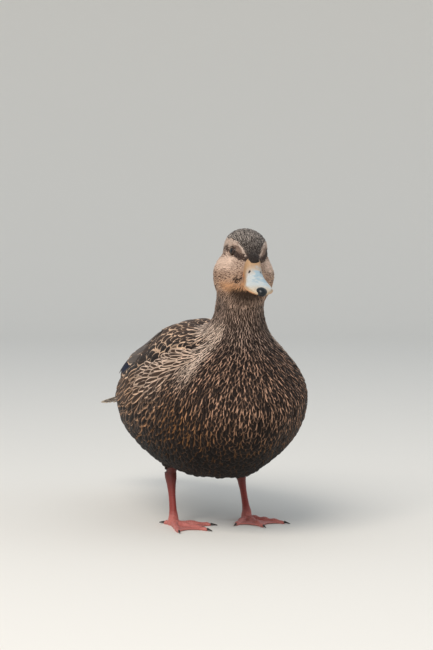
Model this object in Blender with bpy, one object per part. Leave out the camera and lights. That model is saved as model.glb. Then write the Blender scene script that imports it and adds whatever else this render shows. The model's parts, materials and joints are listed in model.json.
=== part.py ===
"""A hen mallard, life size, standing with her neck drawn in and her head turned a little to her right.

Metres, +Z up, floor at Z = 0. She faces -Y, and her left side is +X. Her body is one smooth form, lofted
through named stations from the bill to the tail and parted with thin cuts. The wings lie on it, and the legs,
the feet, the bill and the eyes are pieces of their own.
"""

import math
from collections import namedtuple

import bmesh
import bpy
from mathutils import Matrix, Vector

MM = 0.001
GAP = 0.35 * MM  # clearance between neighbouring pieces

# --- Body: side profile and width at each station, in millimetres behind the ankles and above the floor ---
# top and bottom are (y, z) on her back line and her throat-to-belly line. widest is how far up from bottom to
# top the widest level lies, and fullness is how round she is above it: 1 is an ellipse, and less is hollow.
# The stations fan round the throat, and then round the root of the neck.
Station = namedtuple("Station", "top bottom half_width widest fullness")
STATIONS = {
    "bill base": Station((-115, 254), (-110, 232), 9.5, 0.42, 1.0),
    "forehead": Station((-110, 263), (-105, 225), 15.0, 0.38, 0.95),
    "brow": Station((-101, 271.5), (-100, 217), 21, 0.41, 1.0),
    "crown": Station((-88, 278.5), (-96, 211), 25.3, 0.45, 1.03),
    "cheek": Station((-74, 280.5), (-94, 207), 27, 0.47, 1.05),
    "occiput": Station((-60, 274), (-93, 203), 25.5, 0.47, 1.06),
    "nape": Station((-50, 258), (-91.5, 198), 22.5, 0.46, 1.0),
    "neck": Station((-45, 240), (-92, 191), 21, 0.48, 1.0),
    "low neck": Station((-40, 223), (-96, 181), 22.5, 0.50, 1.0),
    "collar": Station((-34, 207), (-106, 167), 27, 0.46, 0.84),
    "shoulder": Station((-23, 197), (-121, 148), 39.5, 0.43, 0.74),
    "breast": Station((-6, 193.5), (-134, 120), 54, 0.42, 0.78),
    "keel": Station((12, 193), (-125, 96), 63, 0.42, 0.84),
    "chest": Station((28, 192), (-100, 73), 69, 0.42, 0.88),
    "fore belly": Station((43, 190.5), (-66, 55.5), 73.5, 0.42, 0.90),
    "belly": Station((60, 187), (-25, 47), 76, 0.43, 0.90),
    "hind belly": Station((82, 178), (30, 49), 72, 0.44, 0.88),
    "flank": Station((107, 166), (80, 60), 64, 0.44, 0.88),
    "vent": Station((133, 153), (122, 76), 51, 0.46, 0.92),
    "rump": Station((159, 143), (155, 93), 36, 0.50, 1.0),
    "tail base": Station((183, 129), (185, 105), 24, 0.55, 1.0),
}
NAMES = list(STATIONS)
RING_POINTS = 28
RINGS_PER_SPAN = 2
HEAD_TURN = math.radians(-12)  # about the neck, so that her bill points to her right of straight ahead
HEAD_TILT = math.radians(5)  # about her line of sight, with her crown towards her left
HEAD_LEVEL = Vector((0, 0, 246 * MM))  # a point on the line that she tilts her head about
NECK_AXIS = Vector((0, -70 * MM, 0))
TEMPLE_HOLLOW = 0.23  # how much her head draws in between crown and cheeks
TEMPLE_STATION = 3.6
HEAD_CUT = 7.3  # station numbers where the body is parted
NECK_CUT = 9.6
CUT = 0.014  # half of a cut, in stations

# --- Bill ---
BILL_LENGTH = 51 * MM
BILL_PITCH = math.radians(-17)
BILL_ROOT = Vector((0, -112.8, 237)) * MM  # middle of its base, level with the line of the mouth
BILL_HALF_WIDTHS = (8.8, 8.6, 8.6, 9.0, 9.9, 11.0, 11.9, 11.6, 9.2, 4.0)  # base to tip
BILL_HEIGHTS = (16.6, 13.6, 10.8, 8.6, 7.0, 6.0, 5.3, 4.7, 3.8, 2.0)  # ridge above the mouth line
BILL_DEPTHS = (7.5, 6.6, 5.6, 4.9, 4.3, 3.9, 3.5, 3.0, 2.4, 1.2)  # chin below the mouth line
NAIL_SIZE = Vector((4.6, 5.4, 3.6)) * MM  # half width, half length, half thickness

# --- Eyes ---
EYE_RADIUS = 5.2 * MM
EYE_PLACE = (2.5, math.radians(30))  # station and angle round the head
EYE_DEPTH = 3.9 * MM  # from the face in to the eye's centre

# --- Wings ---
WING_STATIONS = (10.6, 19.35)  # shoulder to tip
WING_ANGLE = math.radians(43)  # middle line of the folded wing, up from the side
WING_SPREAD = math.radians(25)
WING_THICKNESS = 4.5 * MM
WING_EDGE = 0.8 * MM
WING_TIP_LIFT = 5 * MM

# --- Tail ---
TAIL_TIP = 240  # mm behind the ankles
TAIL_DROP = 17  # mm from its base to its tip
TAIL_HALF_WIDTHS = (23.5, 27, 30, 32.5, 33.5, 32, 28, 20, 8)
TAIL_HALF_DEPTHS = (12, 9.5, 7.2, 5.2, 3.6, 2.6, 1.9, 1.3, 0.7)

# --- Legs and feet ---
STANCE = 38 * MM  # half the distance between the ankles
STANCE_BACK = 4 * MM  # how far the ankles stand behind the stations' zero
HOCK = Vector((-2, 13, 49)) * MM  # from the ankle's place on the floor; x is towards the body's middle
ANKLE_HEIGHT = 8.5 * MM
SHANK_WIDTHS = (5.6, 5.4, 4.0, 3.2, 3.1, 3.4, 4.4)  # half widths in mm, hock to ankle
SHANK_DEPTHS = (6.4, 6.2, 4.9, 4.1, 4.0, 4.2, 4.6)
THIGH_TOP = Vector((-6, -12, 88)) * MM
THIGH_RADII = (24, 21, 16.5, 11.5, 7.8)
FOOT_HEADINGS = {"right": math.radians(22), "left": math.radians(-4)}  # towards her left of straight ahead
Toe = namedtuple("Toe", "length turn joints")
TOES = {  # length in mm, turn outwards from the foot's middle line, and number of joints
    "inner": Toe(36, math.radians(-37), 2),
    "middle": Toe(46, math.radians(0), 3),
    "outer": Toe(43, math.radians(37), 4),
}
HIND_TOE = Toe(11, math.radians(170), 1)
TOE_RADIUS = 3.0 * MM
SOLE_ROOM = 200 * MM  # edge of the box above the floor that the feet are trimmed to
WEB_THICKNESS = 1.2 * MM
WEB_HEIGHT = 0.5 * MM
CLAW_LENGTH = 6.0 * MM

SIDES = {"right": -1, "left": 1}

PLUMAGE = {"base": (0.085, 0.055, 0.038, 1), "roughness": 0.75}
CHEEK = {"base": (0.33, 0.25, 0.18, 1), "roughness": 0.75}
HORN = {"base": (0.72, 0.48, 0.20, 1), "roughness": 0.38}
NAIL = {"base": (0.012, 0.014, 0.016, 1), "roughness": 0.25}
IRIS = {"base": (0.020, 0.011, 0.007, 1), "roughness": 0.06}
LEG_SKIN = {"base": (0.52, 0.085, 0.045, 1), "roughness": 0.45}


def clear_scene():
    for thing in list(bpy.data.objects):
        bpy.data.objects.remove(thing)


def material(name, look):
    made = bpy.data.materials.get(name) or bpy.data.materials.new(name)
    made.use_nodes = True
    shader = made.node_tree.nodes["Principled BSDF"]
    shader.inputs["Base Color"].default_value = look["base"]
    shader.inputs["Roughness"].default_value = look["roughness"]
    shader.inputs["Metallic"].default_value = 0.0
    return made


def add_object(name, mesh_data, look_name, look):
    """Turns a bmesh into a smooth-shaded object of that name."""
    mesh = bpy.data.meshes.new(name)
    bmesh.ops.recalc_face_normals(mesh_data, faces=mesh_data.faces)
    mesh_data.to_mesh(mesh)
    mesh_data.free()
    mesh.shade_smooth()
    mesh.set_sharp_from_angle(angle=math.radians(50))
    mesh.materials.append(material(look_name, look))
    made = bpy.data.objects.new(name, mesh)
    bpy.context.scene.collection.objects.link(made)
    return made


def loft(rings):
    """A closed bmesh through rings of equal length, with a flat cap on the first and on the last."""
    made = bmesh.new()
    loops = [[made.verts.new(point) for point in ring] for ring in rings]
    count = len(loops[0])
    for near, far in zip(loops, loops[1:]):
        for i in range(count):
            j = (i + 1) % count
            made.faces.new((near[i], near[j], far[j], far[i]))
    made.faces.new(list(reversed(loops[0])))
    made.faces.new(loops[-1])
    return made


def spline(values, place):
    """Smooth value at a fractional place in a list of numbers (Catmull-Rom)."""
    last = len(values) - 1
    i = min(max(int(math.floor(place)), 0), last - 1)
    t = place - i
    a, b, c, d = (values[min(max(k, 0), last)] for k in (i - 1, i, i + 1, i + 2))
    if i == 0:
        a = 2 * b - c
    if i == last - 1:
        d = 2 * c - b
    bend = 2 * a - 5 * b + 4 * c - d
    twist = 3 * b - a - 3 * c + d
    return 0.5 * (2 * b + (c - a) * t + bend * t * t + twist * t ** 3)


def smooth_step(x):
    x = min(max(x, 0.0), 1.0)
    return x * x * (3 - 2 * x)


def turned_head(point, share):
    """The point turned with the head about the neck's axis, by a share of the whole turn."""
    tilted = HEAD_LEVEL + Matrix.Rotation(HEAD_TILT * share, 3, "Y") @ (point - HEAD_LEVEL)
    return NECK_AXIS + Matrix.Rotation(HEAD_TURN * share, 3, "Z") @ (tilted - NECK_AXIS)


def body_point(place, angle):
    """A point on the plumage. angle is 0 at her left side and 90 degrees on the back line."""
    rows = list(STATIONS.values())
    top = Vector((0, spline([r.top[0] for r in rows], place), spline([r.top[1] for r in rows], place)))
    low = Vector((0, spline([r.bottom[0] for r in rows], place), spline([r.bottom[1] for r in rows], place)))
    half_width = spline([r.half_width for r in rows], place)
    middle = low.lerp(top, spline([r.widest for r in rows], place))
    rise, side = math.sin(angle), math.cos(angle)
    if rise > 0:
        side = math.copysign(abs(side) ** (1 / spline([r.fullness for r in rows], place)), side)
        temple = smooth_step((3.6 - abs(place - TEMPLE_STATION)) / 2.2)
        half_width *= 1 - TEMPLE_HOLLOW * temple * math.sin(math.pi * min(rise / 0.8, 1)) ** 2
    point = middle + ((top if rise > 0 else low) - middle) * abs(rise) + Vector((half_width * side, 0, 0))
    turn_ends, turn_starts = NAMES.index("occiput"), NAMES.index("low neck")
    return turned_head(point * MM, smooth_step((turn_starts - place) / (turn_starts - turn_ends)))


def body_normal(place, angle):
    step = 0.02
    along = body_point(place + step, angle) - body_point(place - step, angle)
    around = body_point(place, angle + step) - body_point(place, angle - step)
    return along.cross(around).normalized()


def body_length(first, last):
    """The body's form between two station numbers, as a closed bmesh."""
    steps = max(2, round((last - first) * RINGS_PER_SPAN))
    places = [first + (last - first) * i / steps for i in range(steps + 1)]
    angles = [2 * math.pi * i / RING_POINTS for i in range(RING_POINTS)]
    return loft([[body_point(place, angle) for angle in angles] for place in places])


def hide_helper(helper):
    """Keeps a cutter, or a shape joined to another, from being a piece of its own."""
    helper.hide_render = True
    helper.display_type = "WIRE"


def boolean(target, other, operation):
    """Cuts the other's shape out of the target (DIFFERENCE), or makes one solid of the two (UNION)."""
    change = target.modifiers.new(operation.title(), "BOOLEAN")
    change.operation = operation
    change.object = other
    hide_helper(other)


def ball(name, radius, centre, look_name, look, segments=14, rings=9):
    made = bmesh.new()
    bmesh.ops.create_uvsphere(made, u_segments=segments, v_segments=rings, radius=radius)
    made.transform(Matrix.Translation(centre))
    return add_object(name, made, look_name, look)


def eye_centre(side):
    place, angle = EYE_PLACE
    angle = angle if side > 0 else math.pi - angle
    return body_point(place, angle) - body_normal(place, angle) * EYE_DEPTH


def build_body():
    head = add_object("head", body_length(0, HEAD_CUT - CUT), "head feathers", CHEEK)
    for name, side in SIDES.items():
        centre = eye_centre(side)
        ball(f"eye_{name}", EYE_RADIUS, centre, "eye", IRIS)
        socket = ball(f"socket_{name}", EYE_RADIUS + GAP, centre, "eye", IRIS)
        boolean(head, socket, "DIFFERENCE")
    add_object("neck", body_length(HEAD_CUT + CUT, NECK_CUT - CUT), "neck feathers", CHEEK)
    add_object("trunk", body_length(NECK_CUT + CUT, len(NAMES) - 1), "body feathers", PLUMAGE)


def bill_frame():
    """Places a bill drawn along -Y from the origin, with its mouth line at z = 0, on the turned head."""
    turn = Matrix.Rotation(HEAD_TURN, 4, "Z") @ Matrix.Rotation(HEAD_TILT, 4, "Y")
    return Matrix.Translation(turned_head(BILL_ROOT, 1)) @ turn @ Matrix.Rotation(-BILL_PITCH, 4, "X")


def bill_half(heights, width_share, upward, steps=14, arc_points=11):
    """The upper bill, or the lower one with upward False: arched rings on a flat mouth face."""
    rings = []
    last = len(heights) - 1
    sign = 1 if upward else -1
    for i in range(steps + 1):
        place = last * (1 - (1 - i / steps) ** 1.35)
        along = -BILL_LENGTH * place / last
        half_width = spline(BILL_HALF_WIDTHS, place) * MM * width_share
        height = spline(heights, place) * MM
        roundness = 1.0 - 0.22 * place / last if upward else 0.8
        ring = []
        for k in range(arc_points):
            angle = math.pi * k / (arc_points - 1)
            side = math.copysign(abs(math.cos(angle)) ** roundness, math.cos(angle))
            rise = GAP / 2 + height * max(math.sin(angle), 0.0) ** roundness
            ring.append(Vector((half_width * side, along, sign * rise)))
        rings.append(ring if upward else ring[::-1])
    return loft(rings)


def build_bill():
    frame = bill_frame()
    root_gap = Matrix.Translation((0, -GAP, 0))
    upper = bill_half(BILL_HEIGHTS, 1.0, True)
    upper.transform(frame @ root_gap)
    upper = add_object("bill_upper", upper, "bill", HORN)
    lower = bill_half(BILL_DEPTHS, 0.86, False)
    lower.transform(frame @ root_gap @ Matrix.Diagonal((1, 0.965, 1, 1)))
    add_object("bill_lower", lower, "bill", HORN)
    tip = frame @ Matrix.Translation((0, -BILL_LENGTH + NAIL_SIZE.y * 0.66, 1.5 * MM))
    for name, grow in (("bill_nail", 0.0), ("nail_seat", GAP)):
        size = NAIL_SIZE + Vector((grow, grow, grow))
        nail = bmesh.new()
        bmesh.ops.create_uvsphere(nail, u_segments=12, v_segments=8, radius=1.0)
        below = [v for v in nail.verts if v.co.z < -0.35]
        for vert in below:
            vert.co.z = -0.35
        nail.transform(tip @ Matrix.Diagonal((*size, 1)))
        made = add_object(name, nail, "nail", NAIL)
        if name == "nail_seat":
            boolean(upper, made, "DIFFERENCE")


def build_wing(name, side, rows=22, columns=8):
    """A folded wing: a lens of even rows on the body's side, its tip standing clear of the rump."""
    made = bmesh.new()
    first, last = WING_STATIONS
    outer, inner = [], []
    for i in range(rows + 1):
        u = i / rows
        place = first + (last - first) * u
        fullness = max(1 - (2 * abs(u - 0.42) / 1.16) ** 3.2, 0.02) ** 0.6
        middle = WING_ANGLE + math.radians(16) * smooth_step((u - 0.55) / 0.45)
        lift = GAP + WING_TIP_LIFT * smooth_step((u - 0.6) / 0.4)
        depth = WING_THICKNESS * fullness * (1 - 0.4 * u) * smooth_step(0.2 + u / 0.2)
        outer_row, inner_row = [], []
        for k in range(columns + 1):
            v = -1 + 2 * k / columns
            angle = middle + v * WING_SPREAD * fullness
            angle = angle if side > 0 else math.pi - angle
            base = body_point(place, angle)
            out = body_normal(place, angle)
            thick = WING_EDGE + depth * math.sqrt(max(1 - v * v, 0))
            inner_row.append(made.verts.new(base + out * lift))
            outer_row.append(made.verts.new(base + out * (lift + thick)))
        outer.append(outer_row)
        inner.append(inner_row)
    for i in range(rows):
        for k in range(columns):
            made.faces.new((outer[i][k], outer[i][k + 1], outer[i + 1][k + 1], outer[i + 1][k]))
            made.faces.new((inner[i][k], inner[i + 1][k], inner[i + 1][k + 1], inner[i][k + 1]))
        for k in (0, columns):
            made.faces.new((outer[i][k], outer[i + 1][k], inner[i + 1][k], inner[i][k]))
    for i in (0, rows):
        for k in range(columns):
            made.faces.new((outer[i][k], outer[i][k + 1], inner[i][k + 1], inner[i][k]))
    add_object(f"wing_{name}", made, "wing feathers", PLUMAGE)


def build_tail(points=24):
    """The closed tail fan, a flat wedge behind the rump."""
    base = STATIONS["tail base"]
    start = Vector((0, (base.top[0] + base.bottom[0]) / 2, (base.top[1] + base.bottom[1]) / 2))
    rings = []
    last = len(TAIL_HALF_WIDTHS) - 1
    for i, (half_width, half_depth) in enumerate(zip(TAIL_HALF_WIDTHS, TAIL_HALF_DEPTHS)):
        share = (i / last) ** 0.8
        centre = start + Vector((0, (TAIL_TIP - start.y) * share, -TAIL_DROP * share))
        slope = Vector((0, base.bottom[0] - base.top[0], 0)) * (1 - share)
        ring = []
        for k in range(points):
            angle = 2 * math.pi * k / points
            spot = centre + Vector((half_width * math.cos(angle), 0, half_depth * math.sin(angle)))
            ring.append((spot - slope * math.sin(angle) / 2) * MM)
        rings.append(ring)
    tail = loft(rings)
    tail.transform(Matrix.Translation((0, GAP * 1.3, 0)))
    add_object("tail", tail, "tail feathers", PLUMAGE)


def tube(spots, widths, depths, heading, points=14):
    """An upright limb through spots, with oval rings turned to a heading about Z."""
    turn = Matrix.Rotation(heading, 3, "Z")
    rings = []
    for spot, width, depth in zip(spots, widths, depths):
        ring = []
        for k in range(points):
            angle = 2 * math.pi * k / points
            ring.append(spot + turn @ Vector((width * math.cos(angle), depth * math.sin(angle), 0)) * MM)
        rings.append(ring)
    return loft(rings)


def build_leg(name, side, trunk):
    ankle = Vector((side * STANCE, STANCE_BACK, ANKLE_HEIGHT))
    hock = Vector((side * (STANCE + HOCK.x), STANCE_BACK + HOCK.y, HOCK.z))
    spots = [hock.lerp(ankle, smooth_step(i / 6) * 0.35 + i / 6 * 0.65) for i in range(7)]
    spots[0].z -= GAP
    spots[-1].z += GAP
    shank = tube(spots, SHANK_WIDTHS, SHANK_DEPTHS, FOOT_HEADINGS[name] * 0.5)
    add_object(f"shank_{name}", shank, "leg skin", LEG_SKIN)
    top = Vector((side * (STANCE + THIGH_TOP.x), THIGH_TOP.y, THIGH_TOP.z))
    spots = [top.lerp(hock, i / 4) for i in range(5)]
    thigh = tube(spots, THIGH_RADII, THIGH_RADII, 0, 18)
    thigh = add_object(f"thigh_{name}", thigh, "thigh feathers", PLUMAGE)
    boolean(thigh, trunk, "DIFFERENCE")


def toe_shape(toe, depth, start):
    """A toe along -Y from the foot middle: a bar swollen at its joints, reaching below the floor."""
    rings = []
    steps = 3 * toe.joints + 3
    for i in range(steps + 1):
        share = i / steps
        swell = 1 + 0.16 * math.cos(2 * math.pi * share * toe.joints)
        radius = TOE_RADIUS * (1.12 - 0.42 * share) * swell * (1 - 0.45 * smooth_step((share - 0.9) / 0.1))
        centre = Vector((0, -(start + (toe.length * MM - start) * share), radius * 0.62))
        ring = []
        for k in range(8):
            angle = 2 * math.pi * (k + 0.5) / 8
            spot = centre + Vector((radius * math.cos(angle), 0, radius * math.sin(angle)))
            spot.z = max(spot.z, -depth) if math.sin(angle) > -0.5 else -depth
            ring.append(spot)
        rings.append(ring)
    return loft(rings)


def web_shape(angles_and_lengths):
    """The web as one thin plate: straight along each toe, and bowed in between their tips."""
    outline = [Vector((0, 4, 0)) * MM]
    for (angle_a, reach_a), (angle_b, reach_b) in zip(angles_and_lengths, angles_and_lengths[1:]):
        for k in range(9):
            t = k / 8
            angle = angle_a + (angle_b - angle_a) * t
            reach = (reach_a + (reach_b - reach_a) * t) * (1 - 0.20 * math.sin(math.pi * t))
            outline.append(Matrix.Rotation(angle, 3, "Z") @ Vector((0, -reach * MM, 0)))
    made = bmesh.new()
    face = made.faces.new([made.verts.new(point + Vector((0, 0, WEB_HEIGHT))) for point in outline])
    grown = bmesh.ops.extrude_face_region(made, geom=[face])
    for item in grown["geom"]:
        if isinstance(item, bmesh.types.BMVert):
            item.co.z += WEB_THICKNESS
    bmesh.ops.remove_doubles(made, verts=made.verts, dist=1e-6)
    return made


def claw_shape():
    """A short curved cone along -Y, pointed down, flat on the floor side."""
    rings = []
    for i in range(6):
        share = i / 5
        radius = (1.35 * (1 - share) + 0.35 * share) * MM
        drop = 0.55 * MM * share * share
        centre = Vector((0, -CLAW_LENGTH * share, 1.75 * MM - drop - 0.35 * MM * share))
        ring = []
        for k in range(6):
            angle = 2 * math.pi * k / 6
            ring.append(centre + Vector((0.8 * radius * math.cos(angle), 0, radius * math.sin(angle))))
        rings.append(ring)
    return loft(rings)


def build_foot(name, side):
    """Three webbed toes, the hind toe and the foot's root as one solid with a flat sole, and four claws."""
    place = Matrix.Translation((side * STANCE, STANCE_BACK, 0))
    heading = FOOT_HEADINGS[name]
    # Outwards is towards her right on the right foot.
    turns = {key: heading + side * toe.turn for key, toe in TOES.items()}
    turns["hind"] = heading + side * HIND_TOE.turn
    toes = dict(TOES, hind=HIND_TOE)
    root_spots = [Vector((0, 0.5, z)) * MM for z in (-9, 1, 4.5)] + [Vector((0, 0, ANKLE_HEIGHT))]
    root = tube(root_spots, (5.4, 5.4, 5.2, 4.5), (5.6, 5.6, 5.2, 4.7), heading)
    root.transform(place)
    foot = add_object(f"foot_{name}", root, "leg skin", LEG_SKIN)
    for number, (key, toe) in enumerate(toes.items()):
        shape = toe_shape(toe, (4 + number) * MM, -(1 + 0.4 * number) * MM)
        turn = place @ Matrix.Rotation(turns[key], 4, "Z")
        shape.transform(turn)
        boolean(foot, add_object(f"toe_{name}_{key}", shape, "leg skin", LEG_SKIN), "UNION")
        claw = claw_shape()
        claw.transform(turn @ Matrix.Translation((0, -toe.length * MM - GAP, 0)))
        add_object(f"claw_{name}_{key}", claw, "claw", NAIL)
    room = bmesh.new()
    bmesh.ops.create_cube(room, size=SOLE_ROOM)
    room.transform(place @ Matrix.Translation((0, 0, SOLE_ROOM / 2)))
    boolean(foot, add_object(f"above_floor_{name}", room, "leg skin", LEG_SKIN), "INTERSECT")
    order = sorted(TOES, key=lambda key: turns[key])
    web = web_shape([(turns[key], TOES[key].length * 0.93) for key in order])
    web.transform(place)
    boolean(foot, add_object(f"web_{name}", web, "leg skin", LEG_SKIN), "UNION")


def trunk_cutter():
    """The trunk's form grown by the clearance, to shape the pieces that meet it."""
    angles = [2 * math.pi * i / RING_POINTS for i in range(RING_POINTS)]
    steps = round((len(NAMES) - 1 - NECK_CUT) * RINGS_PER_SPAN)
    rings = []
    for i in range(steps + 1):
        place = NECK_CUT + CUT + (len(NAMES) - 1 - NECK_CUT - CUT) * i / steps
        rings.append([body_point(place, a) + body_normal(place, a) * GAP * 1.4 for a in angles])
    cutter = add_object("trunk_cutter", loft(rings), "body feathers", PLUMAGE)
    hide_helper(cutter)
    return cutter


def centre_on_floor():
    """Moves the whole bird so that the middle of her box stands over the origin."""
    bpy.context.view_layer.update()
    graph = bpy.context.evaluated_depsgraph_get()
    shown = [thing for thing in bpy.data.objects if not thing.hide_render]
    corners = []
    for thing in shown:
        mesh = thing.evaluated_get(graph).to_mesh()
        corners += [vert.co.copy() for vert in mesh.vertices]
    low = [min(c[k] for c in corners) for k in range(3)]
    high = [max(c[k] for c in corners) for k in range(3)]
    shift = Vector((-(low[0] + high[0]) / 2, -(low[1] + high[1]) / 2, -low[2]))
    for thing in bpy.data.objects:
        thing.data.transform(Matrix.Translation(shift))


def main():
    clear_scene()
    build_body()
    build_bill()
    cutter = trunk_cutter()
    for name, side in SIDES.items():
        build_wing(name, side)
        build_leg(name, side, cutter)
        build_foot(name, side)
    build_tail()
    centre_on_floor()


main()
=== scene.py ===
"""A hen mallard, life size, standing still: her plumage, bill, eyes, legs and the stage she stands on.

Metres, +Z up, floor at Z = 0. She faces -Y and her left side is +X. Every place below is in that frame.
One skin lies under all the feathers. Feathers are thin closed vanes rooted on it. They follow the way that
her coat lies, and each carries its own tones from the markings of the place where it grows, with shade and light
painted into some.
"""

import functools
import json
import math
from collections import namedtuple

import bmesh
import bpy
import numpy as np
from bpy.props import FloatProperty, FloatVectorProperty, PointerProperty
from mathutils import Euler, Matrix, Vector
from mathutils.bvhtree import BVHTree
from mathutils.kdtree import KDTree

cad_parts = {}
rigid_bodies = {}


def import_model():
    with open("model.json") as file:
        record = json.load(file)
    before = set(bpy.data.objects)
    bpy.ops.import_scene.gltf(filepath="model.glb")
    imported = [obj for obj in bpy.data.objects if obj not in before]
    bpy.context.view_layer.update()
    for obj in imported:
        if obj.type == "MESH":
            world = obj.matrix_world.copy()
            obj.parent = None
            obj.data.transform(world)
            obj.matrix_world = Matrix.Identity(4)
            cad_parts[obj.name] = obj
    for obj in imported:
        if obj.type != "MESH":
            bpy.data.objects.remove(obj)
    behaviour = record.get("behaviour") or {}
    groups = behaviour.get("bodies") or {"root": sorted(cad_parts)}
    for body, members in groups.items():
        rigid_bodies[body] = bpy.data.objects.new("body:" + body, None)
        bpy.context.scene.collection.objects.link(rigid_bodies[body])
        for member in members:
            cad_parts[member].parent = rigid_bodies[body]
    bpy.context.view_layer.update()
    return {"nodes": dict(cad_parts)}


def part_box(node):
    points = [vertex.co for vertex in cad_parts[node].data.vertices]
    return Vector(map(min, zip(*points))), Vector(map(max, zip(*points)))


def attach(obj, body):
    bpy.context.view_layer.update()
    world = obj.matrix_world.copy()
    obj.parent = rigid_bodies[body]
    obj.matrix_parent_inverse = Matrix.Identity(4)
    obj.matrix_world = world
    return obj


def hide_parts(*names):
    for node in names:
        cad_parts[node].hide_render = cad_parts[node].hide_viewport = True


for start_object in list(bpy.data.objects):
    bpy.data.objects.remove(start_object)
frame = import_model()

bl_info = {
    "name": "Hen Mallard",
    "version": (1, 0, 0),
    "blender": (4, 5, 0),
    "location": "3D View > Sidebar > Duck",
    "description": "Builds the plumage, bill, eyes, legs and stage of a life-size hen mallard",
    "category": "Object",
}

MM = 0.001
SIDES = {"right": -1, "left": 1}
FLESH = ("head", "neck", "trunk", "thigh_right", "thigh_left", "wing_right", "wing_left", "tail")

# --- Her body's stations, from the bill to the tail, in millimetres ---
# A point (x, y, z) of her middle line, then the feathers there: lengths on her back, her sides and her underside,
# width as a share of length, how high tips stand, and how far the skin lies within her outline.
Station = namedtuple("Station", "x y z back side under width_share lift depth")
BODY = {
    "bill": Station(-10, -150, 242, 4.2, 3.8, 4.0, 0.30, 0.5, 0.3),
    "brow": Station(-7.5, -138, 242.5, 6.2, 5.4, 5.4, 0.26, 0.8, 0.4),
    "cheek": Station(-4, -122, 243, 7.0, 6.4, 6.6, 0.26, 1.1, 0.5),
    "nape": Station(-2.3, -109, 228, 7.6, 7.0, 7.0, 0.28, 1.3, 0.8),
    "neck": Station(-1, -107, 213, 8.2, 7.4, 7.4, 0.32, 1.5, 1.0),
    "collar": Station(-1, -109, 187, 12, 7.6, 8.4, 0.36, 1.9, 1.4),
    "shoulder": Station(-1, -106, 163, 20, 8.6, 10.4, 0.42, 2.4, 1.8),
    "keel": Station(-1, -88, 141, 23, 12.5, 12, 0.50, 2.7, 2.0),
    "chest": Station(-1, -62, 126, 26, 18, 12.5, 0.54, 3.0, 2.2),
    "belly": Station(-1, -23, 114, 29, 26, 13, 0.50, 3.3, 2.4),
    "hip": Station(-1, 16.5, 111, 33, 30, 14, 0.44, 3.4, 2.5),
    "flank": Station(-1, 54.5, 111, 35, 32, 18, 0.45, 3.4, 2.5),
    "vent": Station(-1, 89, 113.5, 32, 29, 24, 0.48, 3.0, 2.3),
    "rump": Station(-1, 119, 118, 28, 27, 27, 0.50, 2.4, 2.0),
    "tail base": Station(-1, 146, 117, 26, 25, 27, 0.52, 1.8, 2.4),
    "tail": Station(-1, 197, 100, 20, 20, 20, 0.52, 1.0, 1.6),
}
# The long narrow feathers of the flank's upper fringe: station, length in millimetres.
FRINGE_LENGTHS = ((5.4, 17), (6.2, 27), (8, 31), (12, 33))
FRINGE_SHARE = 0.17  # their width as a share of length
WING_SHARE = 0.66  # width as a share of length on the wings and between them
# How far up her side the flank feathers close over the folded wing, from the shoulder back: station and height.
WING_EDGE = ((5.0, 0.08), (5.8, 0.15), (6.2, 0.28), (7.2, 0.34), (8.5, 0.40), (9.5, 0.42), (12, 0.45), (14, 0.5))
MANTLE_RISE = 3.2  # how much the long feathers between her shoulders stand out, in millimetres
BELLY_RISE = 2.6  # how much the thick coat of her belly hangs down
CHEEK_RISES = (0.5, 2.2)  # how much the soft feathers stand out on her left cheek and on her right

# --- How the coat lies: it flows away from the bill, then away from the root of the neck ---
BILL_SOURCE = Vector((-9.5, -153, 243)) * MM
NECK_SOURCE = Vector((-1, -106, 226)) * MM
TAIL_STUB = 0.138  # where her tail narrows to its stub
THIGH_LINE = (Vector((31, -48, 92)) * MM, Vector((36, -22, 47)) * MM)
THIGH_REACH = 17 * MM

# --- Bill, from its base to its tip, in millimetres ---
BILL_ROOT = Vector((-9.3, -150.1, 237.03)) * MM  # middle of its base on the line of the mouth
BILL_PITCH = math.radians(17)
BILL_LENGTH = 51
BILL_HALF_WIDTHS = (7.0, 7.4, 8.1, 9.1, 10.1, 11.2, 12.1, 11.8, 9.3, 4.0)
BILL_HEIGHTS = (18.4, 14.0, 10.8, 8.6, 7.0, 6.0, 5.3, 4.7, 3.8, 2.0)
BILL_DEPTHS = (7.5, 6.6, 5.6, 4.9, 4.3, 3.9, 3.5, 3.0, 2.4, 1.2)
BILL_CORNERS = 0.5  # how square its base is: 1 is round
FOREHEAD_WEDGE = Matrix.LocRotScale(Vector((0, 0.6, 14.6)) * MM, Euler((math.radians(22), 0, 0)), (6.9, 8.2, 5.6))
NOSTRIL_PLACE = (0.26, 0.80)  # along the bill, and round it from its edge (0) to its ridge (1)
LOWER_WIDTH = 0.86  # width of the lower half as a share of the upper half's
NAIL_RADII = (5.0, 5.6, 3.8)
NAIL_PLACE = Vector((0.3, -47.6, 1.6)) * MM

# --- Growing feathers ---
WING_BED = Vector((28, 88, 133)) * MM  # the plumage that the tip of a folded wing rests in
WING_BED_RADII = (14, 44, 14)
STIFFNESS = 0.45  # how far a feather keeps its way, rather than bending to the lie of the coat
LEG_TUFTS = (0.0545, 0.056)  # heights between which the last feathers stand, round the tops of her legs

# --- Eyes ---
EYE_SINK = 1.0 * MM  # how far an eyeball is seated into its socket
EYE_ROOM = 4.4 * MM  # no feather is rooted nearer than this to the middle of an eyeball
EYE_BULGE = 0.35 * MM  # how far the clear front stands out
PUPIL_EDGE = (0.33, 0.37)  # angles from the way the eye looks, in radians, between which the pupil ends
IRIS_EDGE = (0.74, 0.84)  # the same for the iris

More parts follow.
